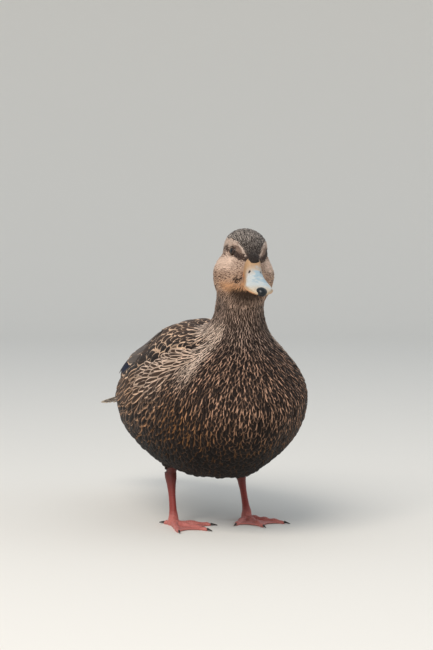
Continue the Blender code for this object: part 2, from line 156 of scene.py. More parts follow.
# --- Legs and claws ---
SHANK_TOP_RADII, SHANK_TOP_LENGTH = (3.9, 6.2), 22  # the cone that joins a shank to its thigh, in millimetres
SHANK_TOP_RISE = 7  # how far above the hock its middle lies
PLATE_RELIEF = 0.22 * MM  # how high the plates of the legs stand
SOLE_HEIGHT = 0.45 * MM  # whatever is lower is set flat on the floor
CLAW_GROWTH = (1.12, 1.12, 1.1)
CLAW_SEAT = 0.6  # how far a claw is pushed into its toe, in millimetres

# --- Stage ---
FLOOR_RADIUS, FLOOR_RISE = 3.2, 1.4
SKY_COLOUR = (0.86, 0.93, 1.0)
CAMERA_PLACE = Vector((-0.5819, -1.4213, 0.26))
CAMERA_HEADING = math.radians(-23)
CAMERA_PITCH = math.radians(2.7)
CAMERA_LENS = 87.5


def tint(code):
    """The linear colour of a six-digit paint code."""
    shares = [int(code[i:i + 2], 16) / 255 for i in (0, 2, 4)]
    return tuple(c / 12.92 if c <= 0.04045 else ((c + 0.055) / 1.055) ** 2.4 for c in shares)


def paint(name, code, description):
    """A colour setting."""
    return FloatVectorProperty(
        name=name, description=description, subtype="COLOR", size=3, min=0, max=1, default=tint(code)
    )


def length(name, millimetres, description):
    """A length setting."""
    return FloatProperty(
        name=name, description=description, unit="LENGTH", subtype="DISTANCE",
        min=0, default=millimetres * MM, precision=5,
    )


class PlumageSettings(bpy.types.PropertyGroup):
    """Sizes and colours of her feathers"""

    scale: FloatProperty(name="Feather scale", description="All feather sizes times this", default=1.0)
    cover: FloatProperty(name="Cover", description="How many feathers lie over one place", default=4.2)
    ruffle: FloatProperty(name="Ruffle", description="How unevenly feathers lie, 0 to 1", default=0.4)
    skin_voxel: length("Skin detail", 1.9, "Edge of the blocks that the skin is remade from")
    crown: paint("Crown", "241c19", "Dark centres on her crown")
    crown_edge: paint("Crown streaks", "aea298", "Fine pale streaks on her crown")
    brow: paint("Brow", "a38a7b", "Pale feathers over the eye")
    brow_line: paint("Brow line", "cbb7a8", "Thin pale line beside the dark forehead")
    eye_stripe: paint("Eye stripe", "33251f", "Stripe from the bill through the eye")
    cheek: paint("Cheek", "dcbfab", "Ground of the cheeks")
    cheek_dash: paint("Cheek dashes", "503a2e", "Fine dark dashes on the cheeks")
    chin: paint("Chin", "d3a078", "Warm tan below the gape")
    neck: paint("Neck", "33261e", "Dark centres on the neck")
    neck_edge: paint("Neck edges", "b59a8a", "Pale edges on the neck")
    shoulder_edge: paint("Shoulder edges", "e4cab6", "Pale streaks beside the root of the neck")
    breast: paint("Breast", "1b1310", "Dark centres on the breast")
    breast_edge: paint("Breast edges", "c0957a", "Pinkish buff edges on the breast")
    flank_edge: paint("Flank edges", "c29a7b", "Pale buff edges on the upper flank")
    rust_edge: paint("Rusty edges", "ac7748", "Rusty edges low on the flank")
    # Partly painted shade: her belly's dark centres, made near black to stand in for the shade under her body.
    belly: paint("Belly", "0d0908", "Dark centres on the belly")
    back: paint("Back", "1f1713", "Dark centres on the back and wings")
    back_edge: paint("Back edges", "d9b698", "Crisp pale edges on the back and wings")
    wing_patch: paint("Wing patch", "171b30", "Blue violet patch low on the folded wing")
    wing_bar: paint("Wing bar", "3c3a3c", "Dusky edges of the wing patch")
    quill: paint("Flight feathers", "2a2422", "Ground of the long wing feathers")
    tail_edge: paint("Tail edges", "d9c6b0", "Pale edges of the tail feathers")


class BillSettings(bpy.types.PropertyGroup):
    """Colours of her bill"""

    side: paint("Side", "aa855f", "Orange tan of the bill's base and edges")
    # Painted reflection: the pale ridge and the bluish grey patch beside it are the sky's reflection on the top of
    # the bill, painted into its colour.
    ridge: paint("Ridge", "bcc0be", "Pale ridge")
    painted_sky_reflection: paint("Blotch", "8ea8b5", "Bluish grey blotch beside the ridge")
    edge: paint("Lower edge", "cd7c3f", "Orange lower edge")
    tip: paint("Tip", "b8a284", "Cream sides of the tip")
    # Painted shade: the nostrils are shallow pits, and the dark inside the open holes is painted on.
    nostril: paint("Nostril", "1a1210", "Inside of the nostrils")
    nail: paint("Nail", "080d10", "Dark nail")


class EyeSettings(bpy.types.PropertyGroup):
    """Her eyes"""

    iris: paint("Iris", "4d3322", "Dark brown iris")
    pupil: paint("Pupil", "050404", "Pupil")
    lid: paint("Lid", "2e231d", "Bare rim of the lids")
    opening: FloatProperty(
        name="Opening", description="Half the opening of the lids, seen from the eye's middle",
        subtype="ANGLE", default=math.radians(26),
    )


class LegSettings(bpy.types.PropertyGroup):
    """Her legs and feet"""

    shank: paint("Shank", "93362f", "Coral red of the shanks")
    # Painted shade: the shanks darken towards the top, where her belly shades them.
    shade: paint("Shade", "4e211c", "Dusky red high on the shanks")
    foot: paint("Foot", "cf7d74", "Toes and webs")
    crease: paint("Creases", "6b251f", "Between the plates and in the folds")
    claw: paint("Claw", "241d1a", "Claws")
    voxel: length("Leg detail", 0.62, "Edge of the blocks that the legs are remade from")
    plate: length("Plate", 2.3, "Height of one plate on the front of the shank")


class StageSettings(bpy.types.PropertyGroup):
    """Floor and lamps"""

    floor: paint("Floor", "e6e2db", "Pale floor")
    sky: FloatProperty(name="Sky", description="Strength of the light from all round", default=0.66)
    key: FloatProperty(name="Main lamp", description="Power of the large soft lamp, in watts", default=62)
    fill: FloatProperty(name="Fill lamp", description="Power of the soft lamp on her left", default=3.5)


class Wire:
    """A socket of a material. Sums, products and powers of wires add the Math nodes for them."""

    def __init__(self, tree, socket):
        self.tree = tree
        self.socket = socket

    def math(self, operation, *values):
        node = self.tree.nodes.new("ShaderNodeMath")
        node.operation = operation
        for number, value in enumerate(values):
            join(self.tree, value, node.inputs[number])
        return Wire(self.tree, node.outputs[0])

    def __add__(self, other):
        return self.math("ADD", self, other)

    def __radd__(self, other):
        return self.math("ADD", other, self)

    def __sub__(self, other):
        return self.math("SUBTRACT", self, other)

    def __rsub__(self, other):
        return self.math("SUBTRACT", other, self)

    def __mul__(self, other):
        return self.math("MULTIPLY", self, other)

    def __rmul__(self, other):
        return self.math("MULTIPLY", other, self)

    def __truediv__(self, other):
        return self.math("DIVIDE", self, other)

    def __pow__(self, other):
        return self.math("POWER", self, other)

    def __abs__(self):
        return self.math("ABSOLUTE", self)

    def sine(self):
        return self.math("SINE", self)

    def least(self, other):
        return self.math("MINIMUM", self, other)

    def most(self, other):
        return self.math("MAXIMUM", self, other)

    def step(self, low, high):
        """0 below low and 1 above high, smooth between them. Either may be a wire."""
        node = self.tree.nodes.new("ShaderNodeMapRange")
        node.interpolation_type = "SMOOTHSTEP"
        join(self.tree, self, node.inputs["Value"])
        join(self.tree, low, node.inputs["From Min"])
        join(self.tree, high, node.inputs["From Max"])
        return Wire(self.tree, node.outputs["Result"])


def join(tree, value, socket):
    """Links a wire to a socket, or sets a number or colour on it."""
    if isinstance(value, Wire):
        tree.links.new(value.socket, socket)
    elif hasattr(value, "__len__") and len(value) == 3 and len(socket.default_value) == 4:
        socket.default_value = (*value, 1)
    else:
        socket.default_value = value


class Finish:
    """A material's nodes, with its shader's own constants set."""

    def __init__(self, name, **constants):
        self.material = bpy.data.materials.new(name)
        self.material.use_nodes = True
        self.tree = self.material.node_tree
        self.shader = self.tree.nodes["Principled BSDF"]
        for socket, value in constants.items():
            join(self.tree, value, self.shader.inputs[socket.replace("_", " ")])

    def node(self, kind, settings=(), output=0, **inputs):
        """Adds one node: first its settings, then the values or wires of its sockets."""
        node = self.tree.nodes.new(kind)
        for key, value in dict(settings).items():
            setattr(node, key, value)
        for name, value in inputs.items():
            join(self.tree, value, node.inputs[name.replace("_", " ")])
        return Wire(self.tree, node.outputs[output])

    def mix(self, share, first, second, blend="MIX"):
        """Two colours mixed by a share."""
        node = self.tree.nodes.new("ShaderNodeMix")
        node.data_type = "RGBA"
        node.blend_type = blend
        node.clamp_factor = True
        for index, value in ((0, share), (6, first), (7, second)):
            join(self.tree, value, node.inputs[index])
        return Wire(self.tree, node.outputs[2])

    def coordinates(self):
        """Places in the object's own metres."""
        return self.node("ShaderNodeTexCoord", output="Object")

    def noise(self, scale, detail):
        """Soft noise from 0 to 1."""
        return self.node("ShaderNodeTexNoise", Vector=self.coordinates(), Scale=scale, Detail=detail)

    def shaded(self, colour, shade):
        """A colour times a number."""
        return self.mix(1.0, colour, self.node("ShaderNodeCombineXYZ", X=shade, Y=shade, Z=shade), "MULTIPLY")

    def attribute(self, name, output="Fac"):
        return self.node("ShaderNodeAttribute", {"attribute_name": name}, output)

    def parts(self, vector):
        """A vector's three numbers."""
        node = self.tree.nodes.new("ShaderNodeSeparateXYZ")
        join(self.tree, vector, node.inputs[0])
        return [Wire(self.tree, output) for output in node.outputs]

    def feed(self, **inputs):
        """Links what changes over the surface to the shader."""
        for name, value in inputs.items():
            join(self.tree, value, self.shader.inputs[name.replace("_", " ")])
        return self.material

    def bump(self, height, distance, strength):
        return self.node("ShaderNodeBump", Height=height, Distance=distance, Strength=strength, output="Normal")


def grained(name, scale, first, second, bump=0.4, roughness=None, **constants):
    """A material mottled between two tones by fine grain. roughness is its least value and the grain's part."""
    finish = Finish(name, **constants)
    grain = finish.noise(scale, 3)
    finish.feed(Base_Color=finish.mix(grain, first, second), Normal=finish.bump(grain, 0.1 * MM, bump))
    if roughness:
        finish.feed(Roughness=roughness[0] + grain * roughness[1])
    return finish.material


# --- Working with objects ---


def deselect_all():
    if bpy.context.object and bpy.context.object.mode != "OBJECT":
        bpy.ops.object.mode_set(mode="OBJECT")
    bpy.ops.object.select_all(action="DESELECT")


def make_active(thing):
    deselect_all()
    thing.hide_viewport = False
    thing.select_set(True)
    bpy.context.view_layer.objects.active = thing


def link_object(name, data):
    """A new object in the scene."""
    made = bpy.data.objects.new(name, data)
    bpy.context.scene.collection.objects.link(made)
    return made


def face_outwards(thing):
    """Turns all faces of a mesh outwards."""
    make_active(thing)
    bpy.ops.object.mode_set(mode="EDIT")
    bpy.ops.mesh.select_all(action="SELECT")
    bpy.ops.mesh.normals_make_consistent(inside=False)
    bpy.ops.object.mode_set(mode="OBJECT")


def box_middle(node):
    """The middle of a CAD node's box."""
    return sum(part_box(node), Vector()) / 2


def mirrored(place, side):
    """A place given on her left side, on the side asked for."""
    return Vector((place.x * side, place.y, place.z))


def join_to(thing, other):
    """Joins another object's mesh into this one."""
    make_active(thing)
    other.select_set(True)
    bpy.ops.object.join()


def modify(thing, kind, **settings):
    """Adds a modifier with these settings and applies it."""
    make_active(thing)
    modifier = thing.modifiers.new(kind.title(), kind)
    for key, value in settings.items():
        setattr(modifier, key, value)
    bpy.ops.object.modifier_apply(modifier=modifier.name)


def nodes_copy(name, nodes):
    """The named CAD nodes, copied, joined into one object and merged."""
    copies = []
    for node in nodes:
        mesh = frame["nodes"][node].data.copy()
        mesh.materials.clear()
        copies.append(link_object(name, mesh))
    make_active(copies[0])
    for copy in copies:
        copy.select_set(True)
    if len(copies) > 1:
        bpy.ops.object.join()
    joined = bpy.context.view_layer.objects.active
    joined.name = name
    bpy.ops.object.mode_set(mode="EDIT")
    bpy.ops.mesh.select_all(action="SELECT")
    bpy.ops.mesh.remove_doubles(threshold=1e-5)
    bpy.ops.object.mode_set(mode="OBJECT")
    for attribute in ("custom_normal", "sharp_edge"):
        if attribute in joined.data.attributes:
            joined.data.attributes.remove(joined.data.attributes[attribute])
    return joined


def keep_largest(thing):
    """Drops every loose bit but the one with the most faces."""
    made = bmesh.new()
    made.from_mesh(thing.data)
    made.verts.ensure_lookup_table()
    part_of = {}
    sizes = []
    for seed in made.verts:
        if seed.index in part_of:
            continue
        part_of[seed.index] = len(sizes)
        count, queue = 0, [seed]
        while queue:
            vert = queue.pop()
            count += 1
            for edge in vert.link_edges:
                other = edge.other_vert(vert)
                if other.index not in part_of:
                    part_of[other.index] = len(sizes)
                    queue.append(other)
        sizes.append(count)
    best = sizes.index(max(sizes))
    loose = [vert for vert in made.verts if part_of[vert.index] != best]
    bmesh.ops.delete(made, geom=loose, context="VERTS")
    made.to_mesh(thing.data)
    made.free()


def finish_piece(thing, slot, *replaced):
    """Says what the piece is to the frame: what it rides on and stands for. Its slot is not used."""
    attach(thing, "root")
    if replaced:
        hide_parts(*replaced)
    return thing


def vertex_places(mesh, kind="co"):
    """The places of a mesh's points, or their normals if the kind is "normal"."""
    values = np.empty(len(mesh.vertices) * 3, np.float32)
    mesh.vertices.foreach_get(kind, values)
    return values.reshape(-1, 3).astype(float)


def set_vertex_places(mesh, places):
    mesh.vertices.foreach_set("co", places.astype(np.float32).ravel())
    mesh.update()


def set_tones(mesh, name, colours):
    """Writes one colour for each vertex."""
    kept = mesh.attributes.new(name, "FLOAT_COLOR", "POINT")
    kept.data.foreach_set("color", np.c_[colours, np.ones(len(colours))].astype(np.float32).ravel())


def set_numbers(mesh, name, values):
    """Writes one number or one vector for each vertex."""
    kind, key = ("FLOAT", "value") if values.ndim == 1 else ("FLOAT_VECTOR", "vector")
    kept = mesh.attributes.new(name, kind, "POINT")
    kept.data.foreach_set(key, values.astype(np.float32).ravel())


# --- Small sums on arrays ---


def unit(vectors):
    return vectors / np.maximum(np.linalg.norm(vectors, axis=-1, keepdims=True), 1e-12)


def dot(first, second):
    return (first * second).sum(-1)


def ease(values, low, high):
    """0 below low and 1 above high, smooth between them; low may be above high."""
    share = np.clip((values - low) / (high - low), 0, 1)
    return share * share * (3 - 2 * share)


def toward(values, goal, share):
    """Values moved towards a goal by a share of the way."""
    return values + (goal - values) * share


def flatten(vectors, normals):
    """The part of each vector that lies in the surface, as a unit vector."""
    return unit(vectors - normals * dot(vectors, normals)[..., None])


def turned(vectors, axes, angles):
    """Each vector turned about its axis."""
    cosine = np.cos(angles)[..., None]
    sine = np.sin(angles)[..., None]
    along = axes * dot(vectors, axes)[..., None]
    return vectors * cosine + np.cross(axes, vectors) * sine + along * (1 - cosine)


# --- The shape of her coat ---


def along_body(points):
    """For each point: its station, the way along the body there, and its place up (1) or down (-1) round it."""
    line = np.array([row[:3] for row in BODY.values()]) * MM
    first, span = line[:-1], line[1:] - line[:-1]
    offset = points[:, None] - first
    share = np.clip((offset * span).sum(-1) / (span * span).sum(-1), 0, 1)
    nearest = first + share[..., None] * span
    distance = np.linalg.norm(points[:, None] - nearest, axis=-1)
    weight = (distance.min(1, keepdims=True) / np.maximum(distance, 1e-9)) ** 8
    weight /= weight.sum(1, keepdims=True)
    station = (weight * (np.arange(len(span)) + share)).sum(1)
    along = unit((weight[..., None] * unit(span)).sum(1))
    middle = (weight[..., None] * nearest).sum(1)
    upward = np.stack([along[:, 0] * 0, -along[:, 2], along[:, 1]], -1)
    return station, along, dot(unit(points - middle), unit(upward))


def by_station(station, values):
    return np.interp(station, np.arange(len(values)), values)


def on_thighs(points):
    """1 on the feathered thighs below the belly, and 0 away from them, with the way down each leg."""
    share_on, way_down = np.zeros(len(points)), np.zeros_like(points)
    for side in SIDES.values():
        top, bottom = (np.array(place) * (side, 1, 1) for place in THIGH_LINE)
        way = bottom - top
        share = np.clip(dot(points - top, way) / (way @ way), 0, 1)
        gap = np.linalg.norm(points - top - share[:, None] * way, axis=-1)
        near = (1 - ease(gap, THIGH_REACH, THIGH_REACH * 1.7)) * (1 - ease(points[:, 2], 0.057, 0.068))
        share_on = np.maximum(share_on, near)
        way_down += near[:, None] * way
    return share_on, way_down


def above_wing_edge(station, height):
    """How far a place is above the line where the flank feathers close over the folded wing."""
    return height - np.interp(station, *zip(*WING_EDGE))


def on_wings(station, height):
    """1 over the folded wings and the back between them, 0 elsewhere, and the same for the flank's upper fringe."""
    over = above_wing_edge(station, height)
    wing = ease(over, -0.02, 0.04) * ease(station, 4.9, 5.6)
    fringe = ease(over, -0.40, -0.16) * (1 - ease(over, -0.01, 0.03))
    return wing, fringe * ease(station, 5.4, 6.2) * (1 - ease(station, 11.5, 12.8))


def feather_sizes(points, station, height):
    """Length, width, lift of the tip and depth of the coat, in metres."""
    columns = list(zip(*BODY.values()))[3:]
    back, side, under, share, lift, depth = (by_station(station, column) for column in columns)
    wing, fringe = on_wings(station, height)
    top = ease(height, 0.2, 0.75)
    low = ease(-height, 0.05, 0.6)
    size = side + (back - side) * top + (under - side) * low
    size = toward(size, back, wing)
    size = toward(size, np.interp(station, *zip(*FRINGE_LENGTHS)), fringe)
    share = share + (FRINGE_SHARE - share) * fringe + (WING_SHARE - share) * wing
    ledge = wing * (1 - ease(above_wing_edge(station, height), 0.05, 0.22)) * (1 - ease(station, 11.5, 12.8))
    rise = ease(height, 0.55, 0.9) * ease(station, 5.6, 7.2) * (1 - ease(station, 9.0, 10.2))
    belly = ease(-height, 0.5, 0.9) * ease(station, 6.8, 8.0) * (1 - ease(station, 11, 13))
    belly *= 1 - ease(points[:, 0], 0.012, 0.040)
    folded = wing * ease(station, 7.8, 9) * (1 - ease(height, 0.84, 0.97))
    lift = lift + 1.6 * fringe - 0.5 * wing - 0.8 * folded
    left, _, up = head_places(points)
    cheek = ease(np.abs(left), 8, 17) * ease(up, -46, -30) * (1 - ease(up, -10, 0)) * (1 - ease(station, 3, 4))
    depth = depth + 2.0 * ledge - 0.6 * wing - MANTLE_RISE * rise
    depth += 3.5 * folded * ease(height, 0.45, 0.6) - np.where(left > 0, *CHEEK_RISES) * cheek - BELLY_RISE * belly
    left_breast = ease(points[:, 0], 0.010, 0.026) * ease(-height, 0.55, 0.85)
    left_breast *= ease(station, 5.7, 6.4) * (1 - ease(station, 7.8, 8.8))
    flank = ease(np.abs(points[:, 0]), 0.060, 0.070) * ease(station, 7, 7.8) * (1 - ease(station, 8.8, 9.8))
    depth += 2.4 * left_breast + 1.4 * flank
    # The folded wings thin out to their tips, so the skin lies close under the outline there.
    slim = ease(station, 10.8, 11.8) * ease(height, 0.25, 0.5)
    depth = toward(depth, 0.3, slim)
    thigh, _ = on_thighs(points)
    size, lift = toward(size, 10, thigh), toward(lift, 1.0, thigh)
    depth = toward(depth, 0.6 + 5.4 * (1 - ease(points[:, 2], 0.049, 0.057)), thigh)
    scale = bpy.context.scene.duck_plumage.scale * MM
    return size * scale, size * share * scale, lift * MM, depth * MM


def head_axes():
    """The middle between her eyes, and the ways to her left, forwards and up, level with her eyes."""
    places = [box_middle(f"eye_{name}") for name in ("left", "right")]
    left = (places[0] - places[1]).normalized()
    forward = left.cross(Vector((0, 0, 1))).normalized()
    return (places[0] + places[1]) / 2, left, forward, forward.cross(left)


def head_places(points):
    """Places in millimetres to her left, forwards and up from the middle between her eyes."""
    middle, left, forward, up = (np.array(value) for value in head_axes())
    return [dot(points - middle, axis) / MM for axis in (left, forward, up)]


def lie_of_coat(points, normals, station, along, height):
    """The way that feathers point at each place."""
    from_bill = points - np.array(BILL_SOURCE)
    from_neck = points - np.array(NECK_SOURCE)
    near_bill = 1 - ease(station, 0.6, 2.6)
    _, fringe = on_wings(station, height)
    shoulder = ease(station, 4.6, 6.2) * (1 - ease(station, 8.5, 12.0))
    over = above_wing_edge(station, height)
    band = ease(over, -0.42, -0.12) * (1 - ease(over, 0.3, 0.6)) * ease(station, 5.2, 6.0)
    lie = flatten(along, normals)
    lie += 2.2 * near_bill[:, None] * flatten(from_bill, normals)
    lie += 1.3 * shoulder[:, None] * flatten(from_neck, normals)
    level = 0.75 * band * (1 - ease(station, 8.0, 10.0))
    backward = flatten(np.array([[0, 1.0, 0.12]]) + 0 * points, normals)
    lie = unit(lie) * (1 - level[:, None]) + level[:, None] * backward
    lie[:, 2] -= 0.3 * fringe * ease(station, 7.0, 9.0)
    thigh, way_down = on_thighs(points)
    lie += 4 * thigh[:, None] * flatten(way_down + 1e-6 * along, normals)
    return flatten(lie, normals)


Place = namedtuple("Place", "point station height side left forward up")


def markings(place, random):
    """Her markings, and the shade and highlight painted among them: for each place the tone of a feather's middle and
    of its edges, and how they are drawn.

    The third is the width of the edge, how much of it goes round the tip, and the strength of the inner ring.
    The last is how far the edge leans to one side, how broken it is, and chance. The skin has the same markings and
    painted light.
    """
    look = bpy.context.scene.duck_plumage
    count = len(place.station)

    def all_over(colour):
        return np.tile(np.array(colour[:]), (count, 1))

    def lay(under, *laid):
        """Colours laid over others, each by its share."""
        for colour, share in laid:
            under = toward(under, np.array(colour), np.clip(share, 0, 1)[:, None])
        return under

    station, height = place.station, place.height
    across = np.abs(place.left)
    # Body, from the neck back.
    wing, fringe = on_wings(station, height)
    flank = ease(station, 6.0, 7.6) * ease(-height, -0.75, -0.4)
    low = ease(-height, 0.0, 0.65)
    shoulder = ease(station, 4.1, 4.9) * (1 - ease(station, 5.9, 6.9)) * ease(height, -0.55, -0.25) * (1 - wing)
    # Partly painted shade: towards the floor her feather centres deepen to near black and their edges nearly vanish,
    # standing in for the shade under her body over her own dark belly.
    belly = (1 - ease(place.point[:, 2], 0.070, 0.122)) * (1 - ease(station, 11.2, 12.4))
    patch = wing * ease(station, 10.5, 10.8) * (1 - ease(station, 11.6, 12.0))
    patch *= 1 - ease(above_wing_edge(station, height), 0.12, 0.2)
    middle = lay(
        all_over(look.neck),
        (look.breast, ease(station, 4.0, 5.6)),
        (look.belly, belly),
        (1.9 * np.array(look.neck), 0.8 * fringe),
        (look.back, wing),
        (2.6 * np.array(look.neck), 0.55 * wing * ease(height, 0.45, 0.85)),
        (look.wing_patch, patch),
    )
    edge = lay(
        all_over(look.neck_edge),
        (look.breast_edge, ease(station, 4.8, 6.2)),
        (look.flank_edge, 0.75 * flank * (1 - low)),
        (look.rust_edge, ease(station, 6.0, 7.2) * ease(-height, -0.05, 0.55)),
        (look.shoulder_edge, shoulder),
        (0.12 * np.array(look.rust_edge[:]), belly),
        (look.flank_edge, fringe),
        (look.shoulder_edge, 0.8 * fringe * (1 - ease(station, 7.5, 9))),
        (look.back_edge, wing),
        (look.wing_bar, patch),
    )
    width = by_station(station, [0.42, 0.42, 0.42, 0.44, 0.44, 0.40, 0.38, 0.36, 0.30, 0.26, 0.22] + [0.2] * 5)
    width = toward(width, 0.6, shoulder)
    width = toward(width, by_station(station, [0.42] * 8 + [0.38, 0.3] + [0.26] * 6), fringe)
    width = toward(width, by_station(station, [0.36] * 7 + [0.28] + [0.2] * 8), wing)
    tip = by_station(station, [0.5] * 5 + [0.45, 0.30, 0.30, 0.5, 0.9] + [1.0] * 6)
    tip = toward(toward(toward(tip, 0.8, shoulder), 0.8, fringe), 1, wing)
    ring = by_station(station, [0] * 6 + [0.05, 0.1, 0.2, 0.3] + [0.35] * 6)
    ring = ring * (1 - 0.8 * belly) * (1 - fringe) * (1 - 0.8 * wing)
    neat = np.maximum(wing, fringe)
    broken = by_station(station, [0, 0, 0, 0.2, 0.4, 0.6, 0.75, 0.7, 0.55, 0.45] + [0.3] * 6)
    broken = broken * (1 - 0.7 * shoulder) * (1 - 0.65 * neat)
    lopsided = by_station(station, [0, 0, 0, 0.2, 0.4, 0.6, 0.9, 0.9, 0.7, 0.5] + [0.3] * 6)
    lopsided = lopsided * (1 - 0.5 * shoulder) * (1 - 0.7 * neat)
    # Head.
    head = 1 - ease(station, 2.7, 3.7)
    wedge = np.interp(place.up, [-11, -3, 4, 8, 11, 14], [3.8, 5.8, 9.0, 12, 16, 28])
    crown = ease(wedge - across, -0.8, 1.2) * ease(place.up, -14, -11)
    line_height = np.interp(place.forward, [-30, -10, -3, 3, 8, 17], [3, 2.5, 2, 0.3, -2.2, -6.2])
    line_width = np.interp(place.forward, [-32, -14, -4, 3, 10, 18], [0.1, 1.8, 2.6, 2.4, 2.1, 2.2])
    stripe = 1 - ease(np.abs(place.up - line_height), line_width * 0.7, line_width * 1.3)
    stripe *= ease(place.forward, -34, -18) * (0.55 + 0.45 * ease(place.forward, -9, -3))
    above = ease(place.up - line_height, 0, 2) * (1 - crown)
    brow_line = above * (1 - ease(across - wedge, 0.8, 2.2)) * ease(place.forward, -24, -8)
    outer_brow = above * ease(across, 10.5, 13.5) * ease(place.up, 2.5, 5)
    lores = above * ease(place.forward, 1, 8) * (1 - ease(place.up, 1, 7))
    tan = (1 - ease(place.up, -29, -24)) * ease(place.up, -38, -32) * ease(place.forward, 1, 9)
    # Painted highlight below each eye: there the dark dashes give way to the pale ground of the cheek.
    painted_highlight_below_eye = ease(-place.up, 4, 7) * (1 - ease(-place.up, 11, 19)) * (1 - ease(np.abs(place.forward - 2), 7, 15))
    throat = 1 - ease(place.up, -40, -33)
    # Painted shadow under the bill: the chin and throat just below it are darkened to the neck's dark tone.
    chin = (1 - ease(place.up, -33, -29)) * ease(place.up, -52, -42) * (1 - ease(across, 10, 19))
    chin *= ease(place.forward, 0, 8)
    face = lay(all_over(look.cheek), (look.brow, above)) * (1 + 0.35 * outer_brow[:, None])
    face = lay(
        face,
        (0.5 * np.array(look.brow), 0.75 * lores),
        (look.brow_line, brow_line),
        (0.8 * np.array(look.chin), 0.45 * (1 - ease(place.up, -24, -12))),
        (look.chin, tan),
        (look.neck_edge, 0.7 * throat),
        # Painted shadow under the bill.
        (look.neck, 0.92 * chin),
    )
    dash = lay(
        all_over(look.cheek_dash),
        (look.brow, 0.35 * above),
        (look.brow_line, 0.6 * np.maximum(brow_line, outer_brow)),
        (look.cheek, 0.65 * painted_highlight_below_eye),
        (look.chin, 0.7 * tan),
        (look.neck, throat),
        # Painted shadow under the bill.
        (look.neck, chin),
    )
    gape = ease(-np.sqrt(((across - 10) / 1.3) ** 2 + (place.forward - 14) ** 2 + (place.up + 23.5) ** 2), -2.7, -1.5)
    streaks = np.array(look.crown_edge) * (0.15 + 0.85 * ease(place.up, -7, 5))[:, None]
    for_crown = [look.crown, streaks, 0.36 + 0.2 * ease(place.up, 4, 14), 0.2 + 0.4 * ease(place.up, 6, 16)]
    for_stripe = [look.eye_stripe, 0.35 * np.array(look.brow[:]) + 0.65 * np.array(look.eye_stripe[:]), 0.3, 0.5]
    centre, rim, rim_tip = dash, face, np.full(count, 0.9)
    rim_width = 0.62 - 0.14 * above
    for share, (tone, pale, wide, round_tip) in ((stripe, for_stripe), (gape, for_stripe), (crown, for_crown)):
        centre, rim = lay(centre, (tone, share)), lay(rim, (pale, share))
        rim_width, rim_tip = toward(rim_width, wide, share), toward(rim_tip, round_tip, share)
    middle, edge = toward(middle, centre, head[:, None]), toward(edge, rim, head[:, None])
    width, tip = toward(width, rim_width, head), toward(tip, rim_tip, head)
    ring *= 1 - head
    broken, lopsided = toward(broken, 0.35, head), toward(lopsided, 0.8, head)
    # No two feathers are quite alike.
    wave = random.uniform(0.82, 1.15, count)[:, None]
    faint = random.uniform(0, 1, count)
    edge = edge * wave + (middle - edge) * (0.45 * ease(faint, 0.6, 1.0) * (1 - head))[:, None]
    width = width * random.uniform(0.8, 1.25, count)
    lean = np.clip(random.normal(0, 1, count) * lopsided, -1, 1)
    middle = middle * random.uniform(0.82, 1.22, count)[:, None]
    return middle, edge, np.stack([width, tip, ring], -1), np.stack([lean, broken, faint], -1)


class Hide:
    """The skin as arrays: its surface, and what the coat is like at each of its points."""

    def __init__(self, skin):
        mesh = skin.data
        mesh.calc_loop_triangles()
        self.points = vertex_places(mesh)
        corners = np.empty(len(mesh.loop_triangles) * 3, np.int32)
        mesh.loop_triangles.foreach_get("vertices", corners)
        self.faces = corners.reshape(-1, 3)
        self.normals = unit(vertex_places(mesh, "normal"))
        self.tree = BVHTree.FromPolygons(self.points.tolist(), self.faces.tolist())
        self.station, self.along, self.height = along_body(self.points)
        self.lie = lie_of_coat(self.points, self.normals, self.station, self.along, self.height)
        self.sizes = np.stack(feather_sizes(self.points, self.station, self.height), -1)

    def nearest(self, points):
        """The nearest places on the skin, and the shares of the three corners of the faces that they are on."""
        found = [self.tree.find_nearest(point) for point in points.tolist()]
        places = np.array([hit[0] for hit in found])
        corners = self.faces[[hit[2] for hit in found]]
        a, b, c = (self.points[corners[:, k]] for k in range(3))
        whole = np.linalg.norm(np.cross(b - a, c - a), axis=-1) + 1e-15
        first = np.linalg.norm(np.cross(b - places, c - places), axis=-1) / whole
        second = np.linalg.norm(np.cross(c - places, a - places), axis=-1) / whole
        shares = np.stack([first, second, np.maximum(1 - first - second, 0)], -1)
        return places, corners, shares / shares.sum(-1, keepdims=True)

    def read(self, values, corners, shares):
        """Values of the skin's points, blended at places on its faces."""
        picked = values[corners]
        return (picked * (shares[..., None] if picked.ndim == 3 else shares)).sum(1)


@functools.cache
def read_hide():
    return Hide(bpy.data.objects["skin"])


